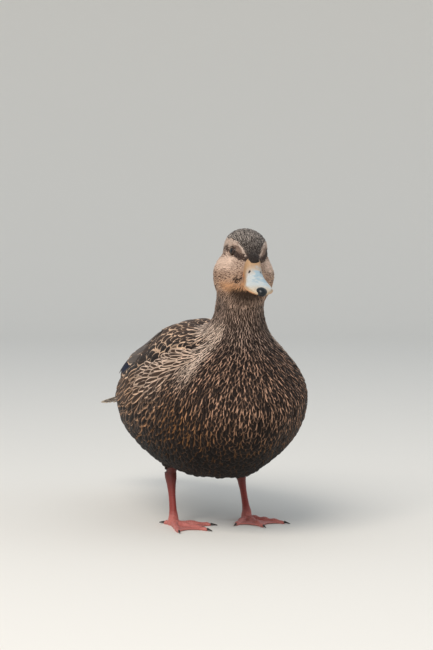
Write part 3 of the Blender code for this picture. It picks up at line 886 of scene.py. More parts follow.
@functools.cache
def feather_roots():
    """Places for all feathers that lie on the skin, as far apart as their sizes there ask for."""
    hide = read_hide()
    random = np.random.default_rng(3)
    cover = bpy.context.scene.duck_plumage.cover
    spacing = np.sqrt(hide.sizes[:, 0] * hide.sizes[:, 1] * 0.9 / cover)
    wing, fringe = on_wings(hide.station, hide.height)
    spacing *= (1 - 0.35 * wing * (1 - ease(hide.station, 5.8, 7.4))) * (1 - 0.22 * fringe)
    spacing *= 1 - 0.25 * ease(hide.points[:, 1], TAIL_STUB - 0.045, TAIL_STUB - 0.015)
    over = above_wing_edge(hide.station, hide.height)
    parting = ease(over, -0.65, -0.4) * (1 - ease(over, -0.05, 0.1)) * ease(hide.station, 5.2, 5.8)
    spacing *= 1 - 0.25 * parting * (1 - ease(hide.station, 7.5, 9.5))
    a, b, c = (hide.points[hide.faces[:, k]] for k in range(3))
    area = np.linalg.norm(np.cross(b - a, c - a), axis=-1) / 2
    wanted = area / spacing[hide.faces].mean(1) ** 2
    count = int(wanted.sum() * 9)
    picked = random.choice(len(area), count, p=wanted / wanted.sum())
    first, second = random.random((2, count))
    over = first + second > 1
    first[over], second[over] = 1 - first[over], 1 - second[over]
    shares = np.stack([first, second, 1 - first - second], -1)
    corners = hide.faces[picked]
    places = hide.read(hide.points, corners, shares)
    reach = hide.read(spacing, corners, shares)
    tree = KDTree(count)
    for number, place in enumerate(places.tolist()):
        tree.insert(place, number)
    tree.balance()
    free = np.ones(count, bool)
    kept = []
    for number in range(count):
        if not free[number]:
            continue
        kept.append(number)
        for _, other, gap in tree.find_range(places[number], reach[number] * 1.3):
            if gap < 0.5 * (reach[number] + reach[other]):
                free[other] = False
    return places[kept], corners[kept], shares[kept]


# --- Feathers ---


@functools.cache
def vane(columns, rows, blunt):
    """One feather of length and width 1: where its points lie, its faces, and which points are on its rim.

    Points run from the quill to the tip. Each row has its top points from side to side and one point under
    them. blunt is 0.5 for an oval tip and more for a pointed one.
    """
    widest = 0.6
    across = np.linspace(-1, 1, columns)
    steps = np.arange(1, rows + 1) / (rows + 1)
    lengths = 1 - (1 - steps) ** 1.25
    beyond = np.clip((lengths - widest) / (1 - widest), 0, 1)
    before = np.clip(lengths / widest, 0, 1)
    widths = (0.32 + 0.68 * np.sin(before * math.pi / 2) ** 0.9) * (1 - beyond**2) ** blunt
    # Columns: along, across from -1 to 1, half width there, below (1) or on top (0).
    points = [(0.0, 0.0, 0.0, 0.0)]
    rim = [True]
    for row in range(rows):
        for place in across:
            points.append((lengths[row] - 0.05 * place * place * beyond[row], place, widths[row], 0.0))
            rim.append(abs(place) > 0.999)
        points.append((lengths[row], 0.0, widths[row], 1.0))
        rim.append(False)
    points.append((1.0, 0.0, 0.0, 0.0))
    rim.append(True)
    top, under = [], []
    row_size = columns + 1
    last = len(points) - 1
    for k in range(columns - 1):
        top.append((0, 1 + k + 1, 1 + k))
        start = 1 + (rows - 1) * row_size
        top.append((last, start + k, start + k + 1))
    for row in range(rows - 1):
        here, there = 1 + row * row_size, 1 + (row + 1) * row_size
        for k in range(columns - 1):
            top.append((here + k, here + k + 1, there + k + 1, there + k))
        right = columns - 1
        under.append((here + columns, here, there, there + columns))
        under.append((here + right, here + columns, there + columns, there + right))
    first, final = 1, 1 + (rows - 1) * row_size
    under += [(0, first, first + columns), (0, first + columns, first + columns - 1)]
    under += [(last, final + columns, final), (last, final + columns - 1, final + columns)]
    return np.array(points), top, under, np.array(rim)


Run = namedtuple("Run", "points normals sizes")  # middle lines of feathers, and their length, width and lift


def grow(places, normals, directions, sizes, steps=6):
    """Lays feathers along the skin from their roots: each one's middle line and the skin's normals under it."""
    hide = read_hide()
    points, outward = [places], [normals]
    direction = directions
    angle = None
    for _ in range(steps):
        ahead = points[-1] + direction * sizes[:, :1] / steps
        place, corners, shares = hide.nearest(ahead)
        normal = unit(hide.read(hide.normals, corners, shares))
        lie = unit(hide.read(hide.lie, corners, shares))
        # Past the end of the skin a feather runs on straight, and so do the coverts over the tail.
        free = np.linalg.norm(place - ahead, axis=-1) > 0.3 * sizes[:, 0] / steps
        free |= (points[-1][:, 1] > TAIL_STUB - 0.010) & (direction[:, 1] > 0.5)
        place[free], normal[free], lie[free] = ahead[free], outward[-1][free], direction[free]
        if angle is None:
            angle = np.arctan2(dot(np.cross(lie, direction), normal), dot(lie, direction))
        lie = turned(lie, normal, angle)
        direction = flatten(direction * STIFFNESS + lie * (1 - STIFFNESS), normal)
        points.append(place)
        outward.append(normal)
    return Run(np.stack(points, 1), np.stack(outward, 1), sizes)


def raise_vanes(run, template, camber, curl, random, root_height=0.0):
    """Places of all the vanes' points: vanes rise from the skin towards their tips and arch over their shafts."""
    along, across, half_width, below = template.T
    steps = run.points.shape[1] - 1
    position = np.clip(along, 0, 1) * steps
    low = np.minimum(position.astype(int), steps - 1)
    share = (position - low)[None, :, None]
    middle = run.points[:, low] * (1 - share) + run.points[:, low + 1] * share
    normal = unit(run.normals[:, low] * (1 - share) + run.normals[:, low + 1] * share)
    way = unit(run.points[:, low + 1] - run.points[:, low] + 1e-9)
    side = unit(np.cross(normal, way))
    width = run.sizes[:, 1:2] / 2
    lift = run.sizes[:, 2:3]
    sideways = across * half_width
    sideways = sideways * (1 + random.normal(0, 0.035, (len(lift), len(across))) * (np.abs(across) > 0.9))
    height = root_height + lift * along**0.9
    height = height - camber * width * 2 * sideways**2 - curl * lift * np.maximum(along - 0.7, 0) ** 2 * 8
    height = height - below * np.minimum(0.10 * width * 2 * half_width, 0.5 * MM) - 0.12 * MM * below
    height = height + random.normal(0, 0.06, (len(lift), 1)) * lift
    return middle + side * (sideways * width)[..., None] + normal * height[..., None]


def bake_patches(count, station, turn):
    """One patch of the bake map for each feather, in rows along the body and columns round it."""
    columns = math.ceil(math.sqrt(count))
    rank = np.empty(count, int)
    rank[np.argsort(station, kind="stable")] = np.arange(count)
    row = rank // columns
    place = np.lexsort((turn, row))
    column = np.empty(count, int)
    column[place] = np.arange(count) - row[place] * columns
    return np.stack([column, row], -1) / columns, 1 / columns


def feather_object(name, slot, finish, run, shape, tones, camber, order=None, **bends):
    """Joins feathers into one piece, with their tones and both of their maps."""
    template, top, under, rim = shape
    count, size = len(run.points), len(template)
    places = raise_vanes(run, template, camber, **bends)
    faces = top + under
    lengths = np.array([len(face) for face in faces])
    corners = np.concatenate([np.array(face) for face in faces])
    mesh = bpy.data.meshes.new(name)
    mesh.vertices.add(count * size)
    mesh.vertices.foreach_set("co", places.astype(np.float32).ravel())
    all_corners = (corners + np.arange(count)[:, None] * size).ravel()
    mesh.loops.add(len(all_corners))
    mesh.loops.foreach_set("vertex_index", all_corners.astype(np.int32))
    mesh.polygons.add(count * len(faces))
    starts = np.cumsum(np.tile(lengths, count)) - np.tile(lengths, count)
    mesh.polygons.foreach_set("loop_start", starts.astype(np.int32))
    mesh.update(calc_edges=True)
    ends = np.empty(len(mesh.edges) * 2, np.int32)
    mesh.edges.foreach_get("vertices", ends)
    on_rim = np.tile(rim, count)[ends.reshape(-1, 2)].all(1)
    sharp = mesh.attributes.new("sharp_edge", "BOOLEAN", "EDGE")
    sharp.data.foreach_set("value", on_rim)
    across, along = template[:, 1][corners] / 2 + 0.5, template[:, 0][corners]
    own = mesh.uv_layers.new(name="FeatherUV")
    own.data.foreach_set("uv", np.tile(np.stack([across, along], -1), (count, 1)).astype(np.float32).ravel())
    top_corners = sum(len(face) for face in top)
    low = np.arange(len(corners)) >= top_corners
    patch = np.stack([np.where(low, 0.72 + 0.16 * across, 0.06 + 0.60 * across), 0.06 + 0.84 * along], -1)
    cells, edge = bake_patches(count, *(order or (np.arange(count), np.zeros(count))))
    bake = mesh.uv_layers.new(name="OFBake")
    bake.data.foreach_set("uv", (cells[:, None] + patch * edge).astype(np.float32).ravel())
    middle, rim_tone, marks, wear = tones
    set_tones(mesh, "middle_tone", np.repeat(middle, size, 0))
    set_tones(mesh, "edge_tone", np.repeat(rim_tone, size, 0))
    set_numbers(mesh, "marks", np.repeat(marks, size, 0))
    set_numbers(mesh, "wear", np.repeat(wear, size, 0))
    mesh.materials.append(finish)
    return finish_piece(link_object(name, mesh), slot)


def feather_finish(name, barbs, gloss=0.0, roughness=0.62):
    """Feather vanes: a dark middle, a pale edge and an inner ring, drawn on each one, with fine barbs."""
    finish = Finish(name, Sheen_Weight=0.02, Sheen_Roughness=0.4, Specular_IOR_Level=0.14, Coat_Weight=gloss)
    across, along, _ = finish.parts(finish.node("ShaderNodeUVMap", {"uv_map": "FeatherUV"}))
    side = abs(across * 2 - 1)
    beyond = ((along - 0.6) / 0.4).most(0)
    round_off = (1 - beyond * beyond).most(0) ** 0.5
    edge = ((1 - side) * round_off).least((1 - beyond) * 1.3)
    width, tip, ring = finish.parts(finish.attribute("marks", "Vector"))
    grain = finish.noise(420, 3)
    ragged = edge + (grain - 0.5) * 0.12
    rim = 1 - ragged.step(width * 0.72, width * 1.25)
    rim = rim * (1 - beyond.step(0.25, 0.8) * (1 - tip))
    lean, broken, _ = finish.parts(finish.attribute("wear", "Vector"))
    rim = rim * (1 - ((1 - across * 2) * lean).step(0.1, 0.7))
    rim = rim * (1 - (1 - finish.noise(190, 2).step(0.40, 0.54)) * broken)
    inner = (1 - abs(ragged - 0.52).step(0.05, 0.11)) * ring * along.step(0.3, 0.5)
    pale = rim.most(inner * 0.85) * along.step(0.14, 0.32)
    middle = finish.attribute("middle_tone", "Color")
    edge_tone = finish.attribute("edge_tone", "Color")
    colour = finish.mix(pale, middle, edge_tone)
    shaft = (1 - side.step(0.02, 0.07)) * 0.35
    colour = finish.mix(shaft, colour, finish.mix(0.6, colour, tint("15100d")))
    barb = (along * barbs + side * (barbs * 0.35)) * 6.2832
    lines = barb.sine()
    colour = finish.shaded(colour, 1 + lines * 0.05 + (grain - 0.5) * 0.35)
    height = lines * 0.35 + shaft * 1.5 + grain * 0.6
    return finish.feed(
        Base_Color=colour,
        Roughness=roughness + (grain - 0.5) * 0.2 - pale * 0.06,
        Normal=finish.bump(height, 0.15 * MM, 0.5),
    )


def lay_feathers(name, slot, chosen, shape, barbs, camber=0.10, curl=0.5):
    """Grows the feathers of one part of her body. chosen takes the roots' places and says which belong to it."""
    hide = read_hide()
    places, corners, shares = feather_roots()
    random = np.random.default_rng(sum(map(ord, name)))
    station, height = (hide.read(values, corners, shares) for values in (hide.station, hide.height))
    place = Place(places, station, height, places[:, 0], *head_places(places))
    kept = chosen(place)
    places, corners, shares = places[kept], corners[kept], shares[kept]
    place = Place(places, *(values[kept] for values in place[1:]))
    normals = unit(hide.read(hide.normals, corners, shares))
    ruffle = bpy.context.scene.duck_plumage.ruffle
    lie = unit(hide.read(hide.lie, corners, shares))
    directions = turned(lie, normals, random.normal(0, 0.28 * ruffle, len(lie)))
    sizes = hide.read(hide.sizes, corners, shares)[:, :3]
    sizes = sizes * random.uniform(1 - 0.25 * ruffle, 1 + 0.25 * ruffle, (len(lie), 1))
    run = grow(places, normals, directions, sizes)
    # No feather here runs off the edge of a wing. Only the coverts run on, over the tail.
    held = np.linalg.norm(hide.nearest(run.points[:, -1])[0] - run.points[:, -1], axis=-1) < 0.04 * sizes[:, 0]
    at_wing_tip = (place.station > 9.3) & (place.station < 13.2) & (place.height > 0.15)
    held &= dot(run.normals[:, 0], run.normals[:, -1]) > np.where(at_wing_tip, 0.45, 0.15)
    ways = unit(np.diff(run.points, axis=1))
    held &= dot(ways[:, 1:], ways[:, :-1]).min(1) > 0.72
    # Nor does a broad one stand out over the ridge of a wing's tip.
    middle = run.points.shape[1] // 2
    across = unit(np.cross(run.normals[:, middle], ways[:, middle])) * 0.4 * sizes[:, 1:2]
    for beside in (run.points[:, middle] + across, run.points[:, middle] - across):
        gap = np.linalg.norm(hide.nearest(beside)[0] - beside, axis=-1)
        held &= ~at_wing_tip | (gap < 0.14 * sizes[:, 1])
    coverts = (place.point[:, 1] > TAIL_STUB - 0.014) & (place.point[:, 2] < 0.135)
    held |= coverts & (ways[:, -1, 1] > 0.4)
    run = Run(*(values[held] for values in run))
    place = Place(*(values[held] for values in place))
    turn = np.arctan2(place.height, place.side)
    tones = markings(place, random)
    return feather_object(
        name, slot, feather_finish(name, barbs), run, shape, tones, camber, (place.station, turn),
        root_height=-0.25 * MM, curl=curl, random=random,
    )


def off_bill(place):
    """Not under the bill, where the head ends against it. The dark wedge of the forehead runs on over its base."""
    back = np.array(bill_matrix().inverted())
    across, ahead, up = ((place.point @ back[:3, :3].T + back[:3, 3]) / MM).T
    wedge = (np.abs(across) < 4.9) & (up > 11) & (ahead > -5.5)
    return ~((ahead < 3.2) & (np.abs(across) < 6.4) & (up > -7) & (up < 16)) | wedge


def off_eyes(place):
    """Not on the eyes and not growing across them."""
    clear = np.ones(len(place.station), bool)
    for name in SIDES:
        clear &= np.linalg.norm(place.point - np.array(eye_centre(name)), axis=-1) > EYE_ROOM
    return clear


def off_quills(place, quills):
    """Not under the long feathers, which would be pushed up by others below them."""
    clear = np.ones(len(place.station), bool)
    spots = np.stack([np.abs(place.point[:, 0] + 0.0009), place.point[:, 1]], -1) / MM
    for quill in quills:
        root = np.array(quill.root)
        way = np.array(quill.tip) - root
        share = np.clip((spots - root) @ way / (way @ way), 0, 1)
        gap = np.linalg.norm(spots - root - share[:, None] * way, axis=-1)
        clear &= ~((gap < quill.width * 0.42) & (share > 0.22) & (share < 0.93))
    return clear | (above_wing_edge(place.station, place.height) < 0.02)


class DUCK_OT_skin(bpy.types.Operator):
    """Makes the one skin that lies under her feathers, set in by the depth of her coat"""

    bl_idname = "duck.skin"
    bl_label = "Skin"

    def execute(self, context):
        look = context.scene.duck_plumage
        skin = nodes_copy("skin", FLESH)
        mounds = [bill_matrix() @ FOREHEAD_WEDGE]
        for side in SIDES.values():
            heading = Euler((math.radians(-10), 0, side * math.radians(10)))
            mounds.append(Matrix.LocRotScale(mirrored(WING_BED, side), heading, WING_BED_RADII))
        for place in mounds:
            deselect_all()
            bpy.ops.mesh.primitive_uv_sphere_add(segments=32, ring_count=24, radius=MM)
            bpy.context.object.data.transform(place)
            join_to(skin, bpy.context.object)
        modify(skin, "REMESH", mode="VOXEL", voxel_size=look.skin_voxel)
        keep_largest(skin)
        modify(skin, "SMOOTH", factor=0.5, iterations=6)
        mesh = skin.data
        for _ in range(4):
            places = vertex_places(mesh)
            station, _, height = along_body(places)
            depth = feather_sizes(places, station, height)[3]
            set_vertex_places(mesh, places - vertex_places(mesh, "normal") * depth[:, None] / 4)
        modify(skin, "SMOOTH", factor=0.5, iterations=8)
        places = vertex_places(mesh)
        # The flesh of her tail is a short stub inside the fan of its feathers.
        beyond = np.maximum(places[:, 1] - TAIL_STUB, 0)
        places[:, 0] *= 1 - 0.55 * ease(places[:, 1], TAIL_STUB - 0.02, TAIL_STUB + 0.05)
        places[:, 1] -= 0.78 * beyond
        places[:, 2] += 0.22 * beyond
        set_vertex_places(mesh, places)
        station, _, height = along_body(places)
        place = Place(places, station, height, places[:, 0], *head_places(places))
        middle, edge, marks, _ = markings(place, np.random.default_rng(5))
        set_tones(mesh, "middle_tone", middle)
        set_tones(mesh, "edge_tone", edge)
        set_numbers(mesh, "marks", marks)
        finish = Finish("skin", Roughness=0.8, Specular_IOR_Level=0.25)
        width, _, _ = finish.parts(finish.attribute("marks", "Vector"))
        grain = finish.noise(900, 3)
        share = (1 - (grain + 0.1).step(width, width + 0.2)) * 0.5
        colour = finish.mix(
            share, finish.attribute("middle_tone", "Color"), finish.attribute("edge_tone", "Color")
        )
        mesh.materials.append(finish.feed(Base_Color=colour, Normal=finish.bump(grain, 0.3 * MM, 0.6)))
        mesh.shade_smooth()
        finish_piece(skin, "body_feathers", *FLESH)
        return {"FINISHED"}


class DUCK_OT_head_plumage(bpy.types.Operator):
    """Lays the small tufts of her head"""

    bl_idname = "duck.head_plumage"
    bl_label = "Head plumage"

    def execute(self, context):
        for name, side in SIDES.items():
            lay_feathers(
                f"head_feathers_{name}", "head_feathers",
                lambda place, side=side: (place.station < 3.3) & (place.left * side > 0)
                & off_bill(place) & off_eyes(place),
                vane(5, 4, 0.9), 14, camber=0.12, curl=0.3,
            )
        return {"FINISHED"}


class DUCK_OT_neck_plumage(bpy.types.Operator):
    """Lays the feathers of her neck"""

    bl_idname = "duck.neck_plumage"
    bl_label = "Neck plumage"

    def execute(self, context):
        lay_feathers(
            "neck_feathers", "neck_feathers",
            lambda place: (place.station >= 3.3) & (place.station < 5.6), vane(5, 5, 0.6), 18, camber=0.16,
        )
        return {"FINISHED"}


class DUCK_OT_body_plumage(bpy.types.Operator):
    """Lays the feathers of her breast, flanks, back and belly"""

    bl_idname = "duck.body_plumage"
    bl_label = "Body plumage"

    def execute(self, context):
        body = {
            "breast_feathers": lambda place: (place.station < 8.0) & (place.height < 0.35),
            "mantle_feathers": lambda place: (place.station < 8.0) & (place.height >= 0.35),
            "back_feathers": lambda place: (place.station >= 8.0) & (place.height >= 0.35)
            & off_quills(place, TERTIALS + PRIMARIES),
            "flank_feathers": lambda place: (place.station >= 8.0) & (np.abs(place.height + 0.1) < 0.45),
            "belly_feathers": lambda place: (place.station >= 8.0) & (place.height <= -0.55),
        }
        for name, chosen in body.items():
            lay_feathers(
                name, "body_feathers",
                lambda place, chosen=chosen: (place.station >= 5.6) & (place.point[:, 1] < TAIL_STUB + 0.001)
                & chosen(place) & (place.point[:, 2] > LEG_TUFTS[1]),
                vane(5, 6, 0.6) if name in ("breast_feathers", "belly_feathers") else vane(7, 7, 0.55), 26,
                camber=0.07 if name in ("mantle_feathers", "back_feathers") else 0.10,
            )
        lay_feathers(
            "leg_feathers", "leg_feathers",
            lambda place: (place.point[:, 2] <= LEG_TUFTS[1]) & (place.point[:, 2] > LEG_TUFTS[0]),
            vane(5, 5, 0.6), 16, camber=0.14,
        )
        return {"FINISHED"}


# --- Long feathers, placed one by one: root and tip (x, y) on her left side, width and height of the root, mm ---
Quill = namedtuple("Quill", "root tip width height")
TERTIALS = (
    Quill((55, 6), (44, 66), 15, 0.8),
    Quill((50, 0), (38.5, 72), 16, 1.2),
    Quill((45, -6), (32.5, 75), 17, 1.6),
    Quill((39, -11), (26, 71), 17, 2.0),
)
PRIMARIES = (
    Quill((52, 26), (30.5, 96), 11, 0.6),
    Quill((51, 30), (27.5, 103), 11, 0.8),
    Quill((50, 34), (24.5, 110), 11, 1.0),
    Quill((49, 38), (21.5, 117), 11, 1.2),
    Quill((48, 42), (18.5, 124), 11, 1.4),
)
TAIL_ROOT = Vector((-0.9, 120, 117)) * MM
TAIL_PAIRS = 9
TAIL_FAN = math.radians(36)  # from the middle feathers to the outermost pair
TAIL_LENGTHS = (80, 56)  # middle feathers and outermost pair, in millimetres
TAIL_DROP = math.radians(16.5)


def long_feathers(name, quills, side, shape, lift, looks, finish, steps=10):
    """Lays a fan of long feathers over the skin, each a little higher than the one before."""
    hide = read_hide()
    random = np.random.default_rng(sum(map(ord, name)))
    lines, over = [], []
    for quill in quills:
        spots, normals = [], []
        for share in np.linspace(0, 1, steps + 1):
            x, y = (root + (tip - root) * share for root, tip in zip(quill.root, quill.tip))
            hit, normal, _, _ = hide.tree.ray_cast(Vector((x * side * MM - 0.0009, y * MM, 0.4)), Vector((0, 0, -1)))
            spots.append(hit)
            normals.append(normal)
        spots, normals = np.array(spots), np.array(normals)
        # A stiff feather bridges the hollows under it: no part of it lies under a straight line between two others.
        rises = spots[:, 2].copy()
        for i in range(steps + 1):
            for k in range(i + 2, steps + 1):
                between = np.arange(i + 1, k)
                line = rises[i] + (rises[k] - rises[i]) * (between - i) / (k - i)
                spots[between, 2] = np.maximum(spots[between, 2], line)
        padded = np.concatenate([normals[:1], normals[:1], normals, normals[-1:], normals[-1:]])
        normals = unit(sum(padded[k:k + steps + 1] for k in range(5)))
        lines.append(spots)
        over.append(normals)
    lines, over = np.array(lines), np.array(over)
    lengths = np.linalg.norm(np.diff(lines, axis=1), axis=-1).sum(1)
    widths = [quill.width * MM for quill in quills]
    count = len(quills)
    run = Run(lines, over, np.stack([lengths, widths, np.full(count, lift * MM)], -1))
    tones = tuple(np.tile(np.array(value[:]), (count, 1)) for value in looks)
    heights = np.array([[quill.height * MM] for quill in quills])
    return feather_object(
        name, "wing_feathers", finish, run, shape, tones, 0.12, root_height=heights, curl=0.2, random=random
    )


class DUCK_OT_wing_feathers(bpy.types.Operator):
    """Lays the long feathers of her folded wings"""

    bl_idname = "duck.wing_feathers"
    bl_label = "Wing feathers"

    def execute(self, context):
        look = context.scene.duck_plumage
        finish = feather_finish("flight_feathers", 90, gloss=0.08, roughness=0.5)
        for name, side in SIDES.items():
            long_feathers(
                f"primaries_{name}", PRIMARIES, side, vane(7, 14, 0.75), 1.6,
                (look.quill, 0.6 * np.array(look.back_edge[:]), (0.07, 1.0, 0.0), (0, 0.2, 0)), finish,
            )
            long_feathers(
                f"tertials_{name}", TERTIALS, side, vane(9, 14, 0.6), 1.0,
                (1.7 * np.array(look.neck), look.back_edge, (0.22, 1.0, 0.1), (0, 0.2, 0)), finish,
            )
        return {"FINISHED"}


class DUCK_OT_tail_feathers(bpy.types.Operator):
    """Fans the feathers of her tail, the middle pair on top"""

    bl_idname = "duck.tail_feathers"
    bl_label = "Tail feathers"

    def execute(self, context):
        look = context.scene.duck_plumage
        points, normals, sizes = [], [], []
        for pair in reversed(range(TAIL_PAIRS)):
            share = pair / (TAIL_PAIRS - 1)
            for side in SIDES.values():
                turn = side * (TAIL_FAN * share + math.radians(1.2))
                long = (TAIL_LENGTHS[0] + (TAIL_LENGTHS[1] - TAIL_LENGTHS[0]) * share**1.6) * MM
                line, over = [], []
                for step in range(11):
                    out = long * step / 10
                    x, y = math.sin(turn) * out, math.cos(turn) * out
                    drop = math.tan(TAIL_DROP) * y + 3.2 * MM * (x / 0.033) ** 2
                    rise = (1.3 - 2.4 * share + 0.12 * side) * MM
                    line.append(TAIL_ROOT + Vector((x + side * 1.2 * MM * (1 + 5 * share), y, rise - drop)))
                    over.append(Vector((x / 0.033 * 0.19, math.sin(TAIL_DROP), 1)).normalized())
                points.append(line)
                normals.append(over)
                sizes.append((long, 15 * MM, 0.6 * MM))
        run = Run(np.array(points), np.array(normals), np.array(sizes))
        count = len(points)
        random = np.random.default_rng(8)
        tones = (
            np.tile(np.array(look.neck[:]) * 2.2, (count, 1)) * random.uniform(0.9, 1.1, (count, 1)),
            np.tile(np.array(look.tail_edge[:]), (count, 1)),
            np.tile((0.3, 1.0, 0.5), (count, 1)),
            np.tile((0, 0.3, 0), (count, 1)),
        )
        feather_object(
            "tail_feathers", "tail_feathers", feather_finish("tail_feathers", 90, roughness=0.55),
            run, vane(9, 14, 0.6), tones, 0.05, curl=0.0, random=random,
        )
        return {"FINISHED"}


# --- Eyes ---


def eye_axis(name):
    """The way that an eye looks: to her side and a little forwards."""
    _, left, forward, up = head_axes()
    return (left * SIDES[name] * 0.90 + forward * 0.40 + up * 0.10).normalized()


def eye_centre(name):
    """The middle of an eyeball, seated a little into its socket."""
    return box_middle(f"eye_{name}") - eye_axis(name) * EYE_SINK


class DUCK_OT_eyes(bpy.types.Operator):
    """Makes her eyes, each a glossy ball between two lids"""

    bl_idname = "duck.eyes"
    bl_label = "Eyes"

    def execute(self, context):
        look = context.scene.duck_eyes
        ball_finish = Finish("eye", Roughness=0.12, Coat_Weight=0.2, Coat_Roughness=0.02, Specular_IOR_Level=0.28)
        angle = ball_finish.attribute("from_pupil")
        rays = ball_finish.noise(900, 2)
        iris = ball_finish.mix(rays, look.iris, 0.5 * np.array(look.iris[:]))
        iris = ball_finish.mix(angle.step(*PUPIL_EDGE), look.pupil, iris)
        iris = ball_finish.mix(angle.step(*IRIS_EDGE), iris, look.pupil)
        ball_finish.feed(Base_Color=iris)
        tone = np.array(look.lid[:])
        lid_finish = grained("lid", 1500, 0.7 * tone, 1.3 * tone, bump=0.5, Roughness=0.55, Specular_IOR_Level=0.3)
        for name in SIDES:
            low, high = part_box(f"eye_{name}")
            centre, radius = eye_centre(name), (high.z - low.z) / 2
            axis = eye_axis(name)
            _, _, forward, up = head_axes()
            aim = axis.to_track_quat("Z", "Y")
            deselect_all()
            bpy.ops.mesh.primitive_uv_sphere_add(
                segments=48, ring_count=36, radius=radius, location=centre, rotation=aim.to_euler()
            )
            ball = bpy.context.object
            ball.name = f"eye_ball_{name}"
            bpy.ops.object.transform_apply(location=True, rotation=True, scale=True)
            places = vertex_places(ball.data)
            outward = unit(places - np.array(centre))
            polar = np.arccos(np.clip(outward @ np.array(axis), -1, 1))
            bulge = EYE_BULGE * (1 - ease(polar, 0.3, 0.75))
            set_vertex_places(ball.data, places + outward * bulge[:, None])
            set_numbers(ball.data, "from_pupil", polar)
            ball.data.shade_smooth()
            ball.data.materials.append(ball_finish.material)
            finish_piece(ball, "eye", f"eye_{name}")
            deselect_all()
            bpy.ops.mesh.primitive_torus_add(
                major_segments=56, minor_segments=14, major_radius=radius, minor_radius=radius * 0.2
            )
            lid = bpy.context.object
            lid.name = f"eyelids_{name}"
            places = vertex_places(lid.data)
            turn = np.arctan2(places[:, 1], places[:, 0])
            outer = np.hypot(places[:, 0], places[:, 1]) - radius
            roll = np.arctan2(places[:, 2], outer)
            ahead = (forward - axis * forward.dot(axis)).normalized()
            above = axis.cross(ahead)
            above = above if above.dot(up) > 0 else -above
            narrow = 1 - 0.26 * np.sin(turn) ** 2 - 0.05 * np.sin(turn) + 0.05 * np.cos(2 * turn)
            opening = look.opening * narrow
            polar = opening + math.radians(7) * (1 + np.cos(roll))
            out = radius + 0.1 * MM + (0.42 * MM) * np.sin(roll) + 0.1 * MM * np.cos(roll)
            sideways = np.cos(turn)[:, None] * np.array(ahead) + np.sin(turn)[:, None] * np.array(above)
            spots = np.cos(polar)[:, None] * np.array(axis) + np.sin(polar)[:, None] * sideways
            set_vertex_places(lid.data, np.array(centre) + spots * out[:, None])
            face_outwards(lid)
            lid.data.shade_smooth()
            lid.data.materials.append(lid_finish)
            finish_piece(lid, "eye")
        return {"FINISHED"}


# --- Bill ---


def curve(values, places):
    """A smooth curve through evenly spaced values."""
    values = np.array(values, float)
    padded = np.r_[2 * values[0] - values[1], values, 2 * values[-1] - values[-2]]
    places = np.clip(places, 0, len(values) - 1)
    low = np.minimum(places.astype(int), len(values) - 2)
    t = places - low
    a, b, c, d = (padded[low + k] for k in range(4))
    return 0.5 * (2 * b + (c - a) * t + (2 * a - 5 * b + 4 * c - d) * t**2 + (3 * b - a - 3 * c + d) * t**3)


def bill_matrix():
    """Places a bill drawn along -Y, with its mouth at z = 0, on her head."""
    _, left, forward, up = head_axes()
    axes = Matrix((left, -forward, up)).transposed().to_4x4()
    return Matrix.Translation(BILL_ROOT) @ axes @ Matrix.Rotation(BILL_PITCH, 4, "X")


def bill_half(name, heights, width_share, upper, steps=64, around=41):
    """One half of the bill as a closed arch, with its map (along, round from one edge to the other)."""
    along = 1 - (1 - np.linspace(0, 1, steps)) ** 1.3
    place = along * (len(heights) - 1)
    half_width = curve(BILL_HALF_WIDTHS, place) * width_share
    height = curve(heights, place)
    squarer = 1 - (1 - BILL_CORNERS) * (1 - ease(along, 0.0, 0.35)) - 0.22 * along
    roundness = squarer if upper else np.full(steps, 0.8)
    angle = np.linspace(0, math.pi, around)
    side = np.sign(np.cos(angle)) * np.abs(np.cos(angle))[None] ** roundness[:, None]
    rise = np.maximum(np.sin(angle), 0)[None] ** roundness[:, None]
    x = half_width[:, None] * side
    z = 0.15 + height[:, None] * rise
    y = np.broadcast_to(-BILL_LENGTH * along[:, None], x.shape).copy()
    y[0] += 2.5
    if upper:
        # A rolled lip along the edge, a shallow groove over it, and the pits of the nostrils.
        lip = np.exp(-((rise - 0.10) / 0.09) ** 2) * ease(along, 0.02, 0.3)[:, None]
        groove = np.exp(-((rise - 0.36) / 0.10) ** 2) * ease(along, 0.25, 0.5)[:, None]
        x *= 1 + 0.035 * lip - 0.03 * groove
        pit_along = (along[:, None] - NOSTRIL_PLACE[0]) * BILL_LENGTH / 1.9
        pit_up = (rise - NOSTRIL_PLACE[1]) * height[:, None] / 0.95
        pit = np.exp(-((pit_along**2 + pit_up**2) ** 2))
        x -= 1.5 * pit * np.sign(x)
        rim = np.exp(-((np.sqrt(pit_along**2 + pit_up**2) - 1.35) / 0.35) ** 2)
        x += 0.18 * rim * np.sign(x)
        z += 0.12 * rim
    points = np.stack([x, y, z if upper else -z], -1).reshape(-1, 3)
    faces = []
    for i in range(steps - 1):
        for k in range(around):
            a, b = i * around + k, i * around + (k + 1) % around
            quad = (a, b, b + around, a + around)
            faces.append(quad if upper else quad[::-1])
    first = tuple(range(around))
    last = tuple(range((steps - 1) * around, steps * around))
    faces += [first[::-1], last] if upper else [first, last[::-1]]
    mesh = bpy.data.meshes.new(name)
    mesh.from_pydata((points * MM).tolist(), [], faces)
    made = link_object(name, mesh)
    face_outwards(made)
    spot = np.stack([np.broadcast_to(along[:, None], x.shape), rise, side], -1).reshape(-1, 3)
    set_numbers(mesh, "bill_place", spot)
    if upper:
        set_numbers(mesh, "pit", pit.ravel())
    mesh.transform(bill_matrix())
    make_active(made)
    bpy.ops.object.shade_smooth_by_angle(angle=math.radians(50))
    return made


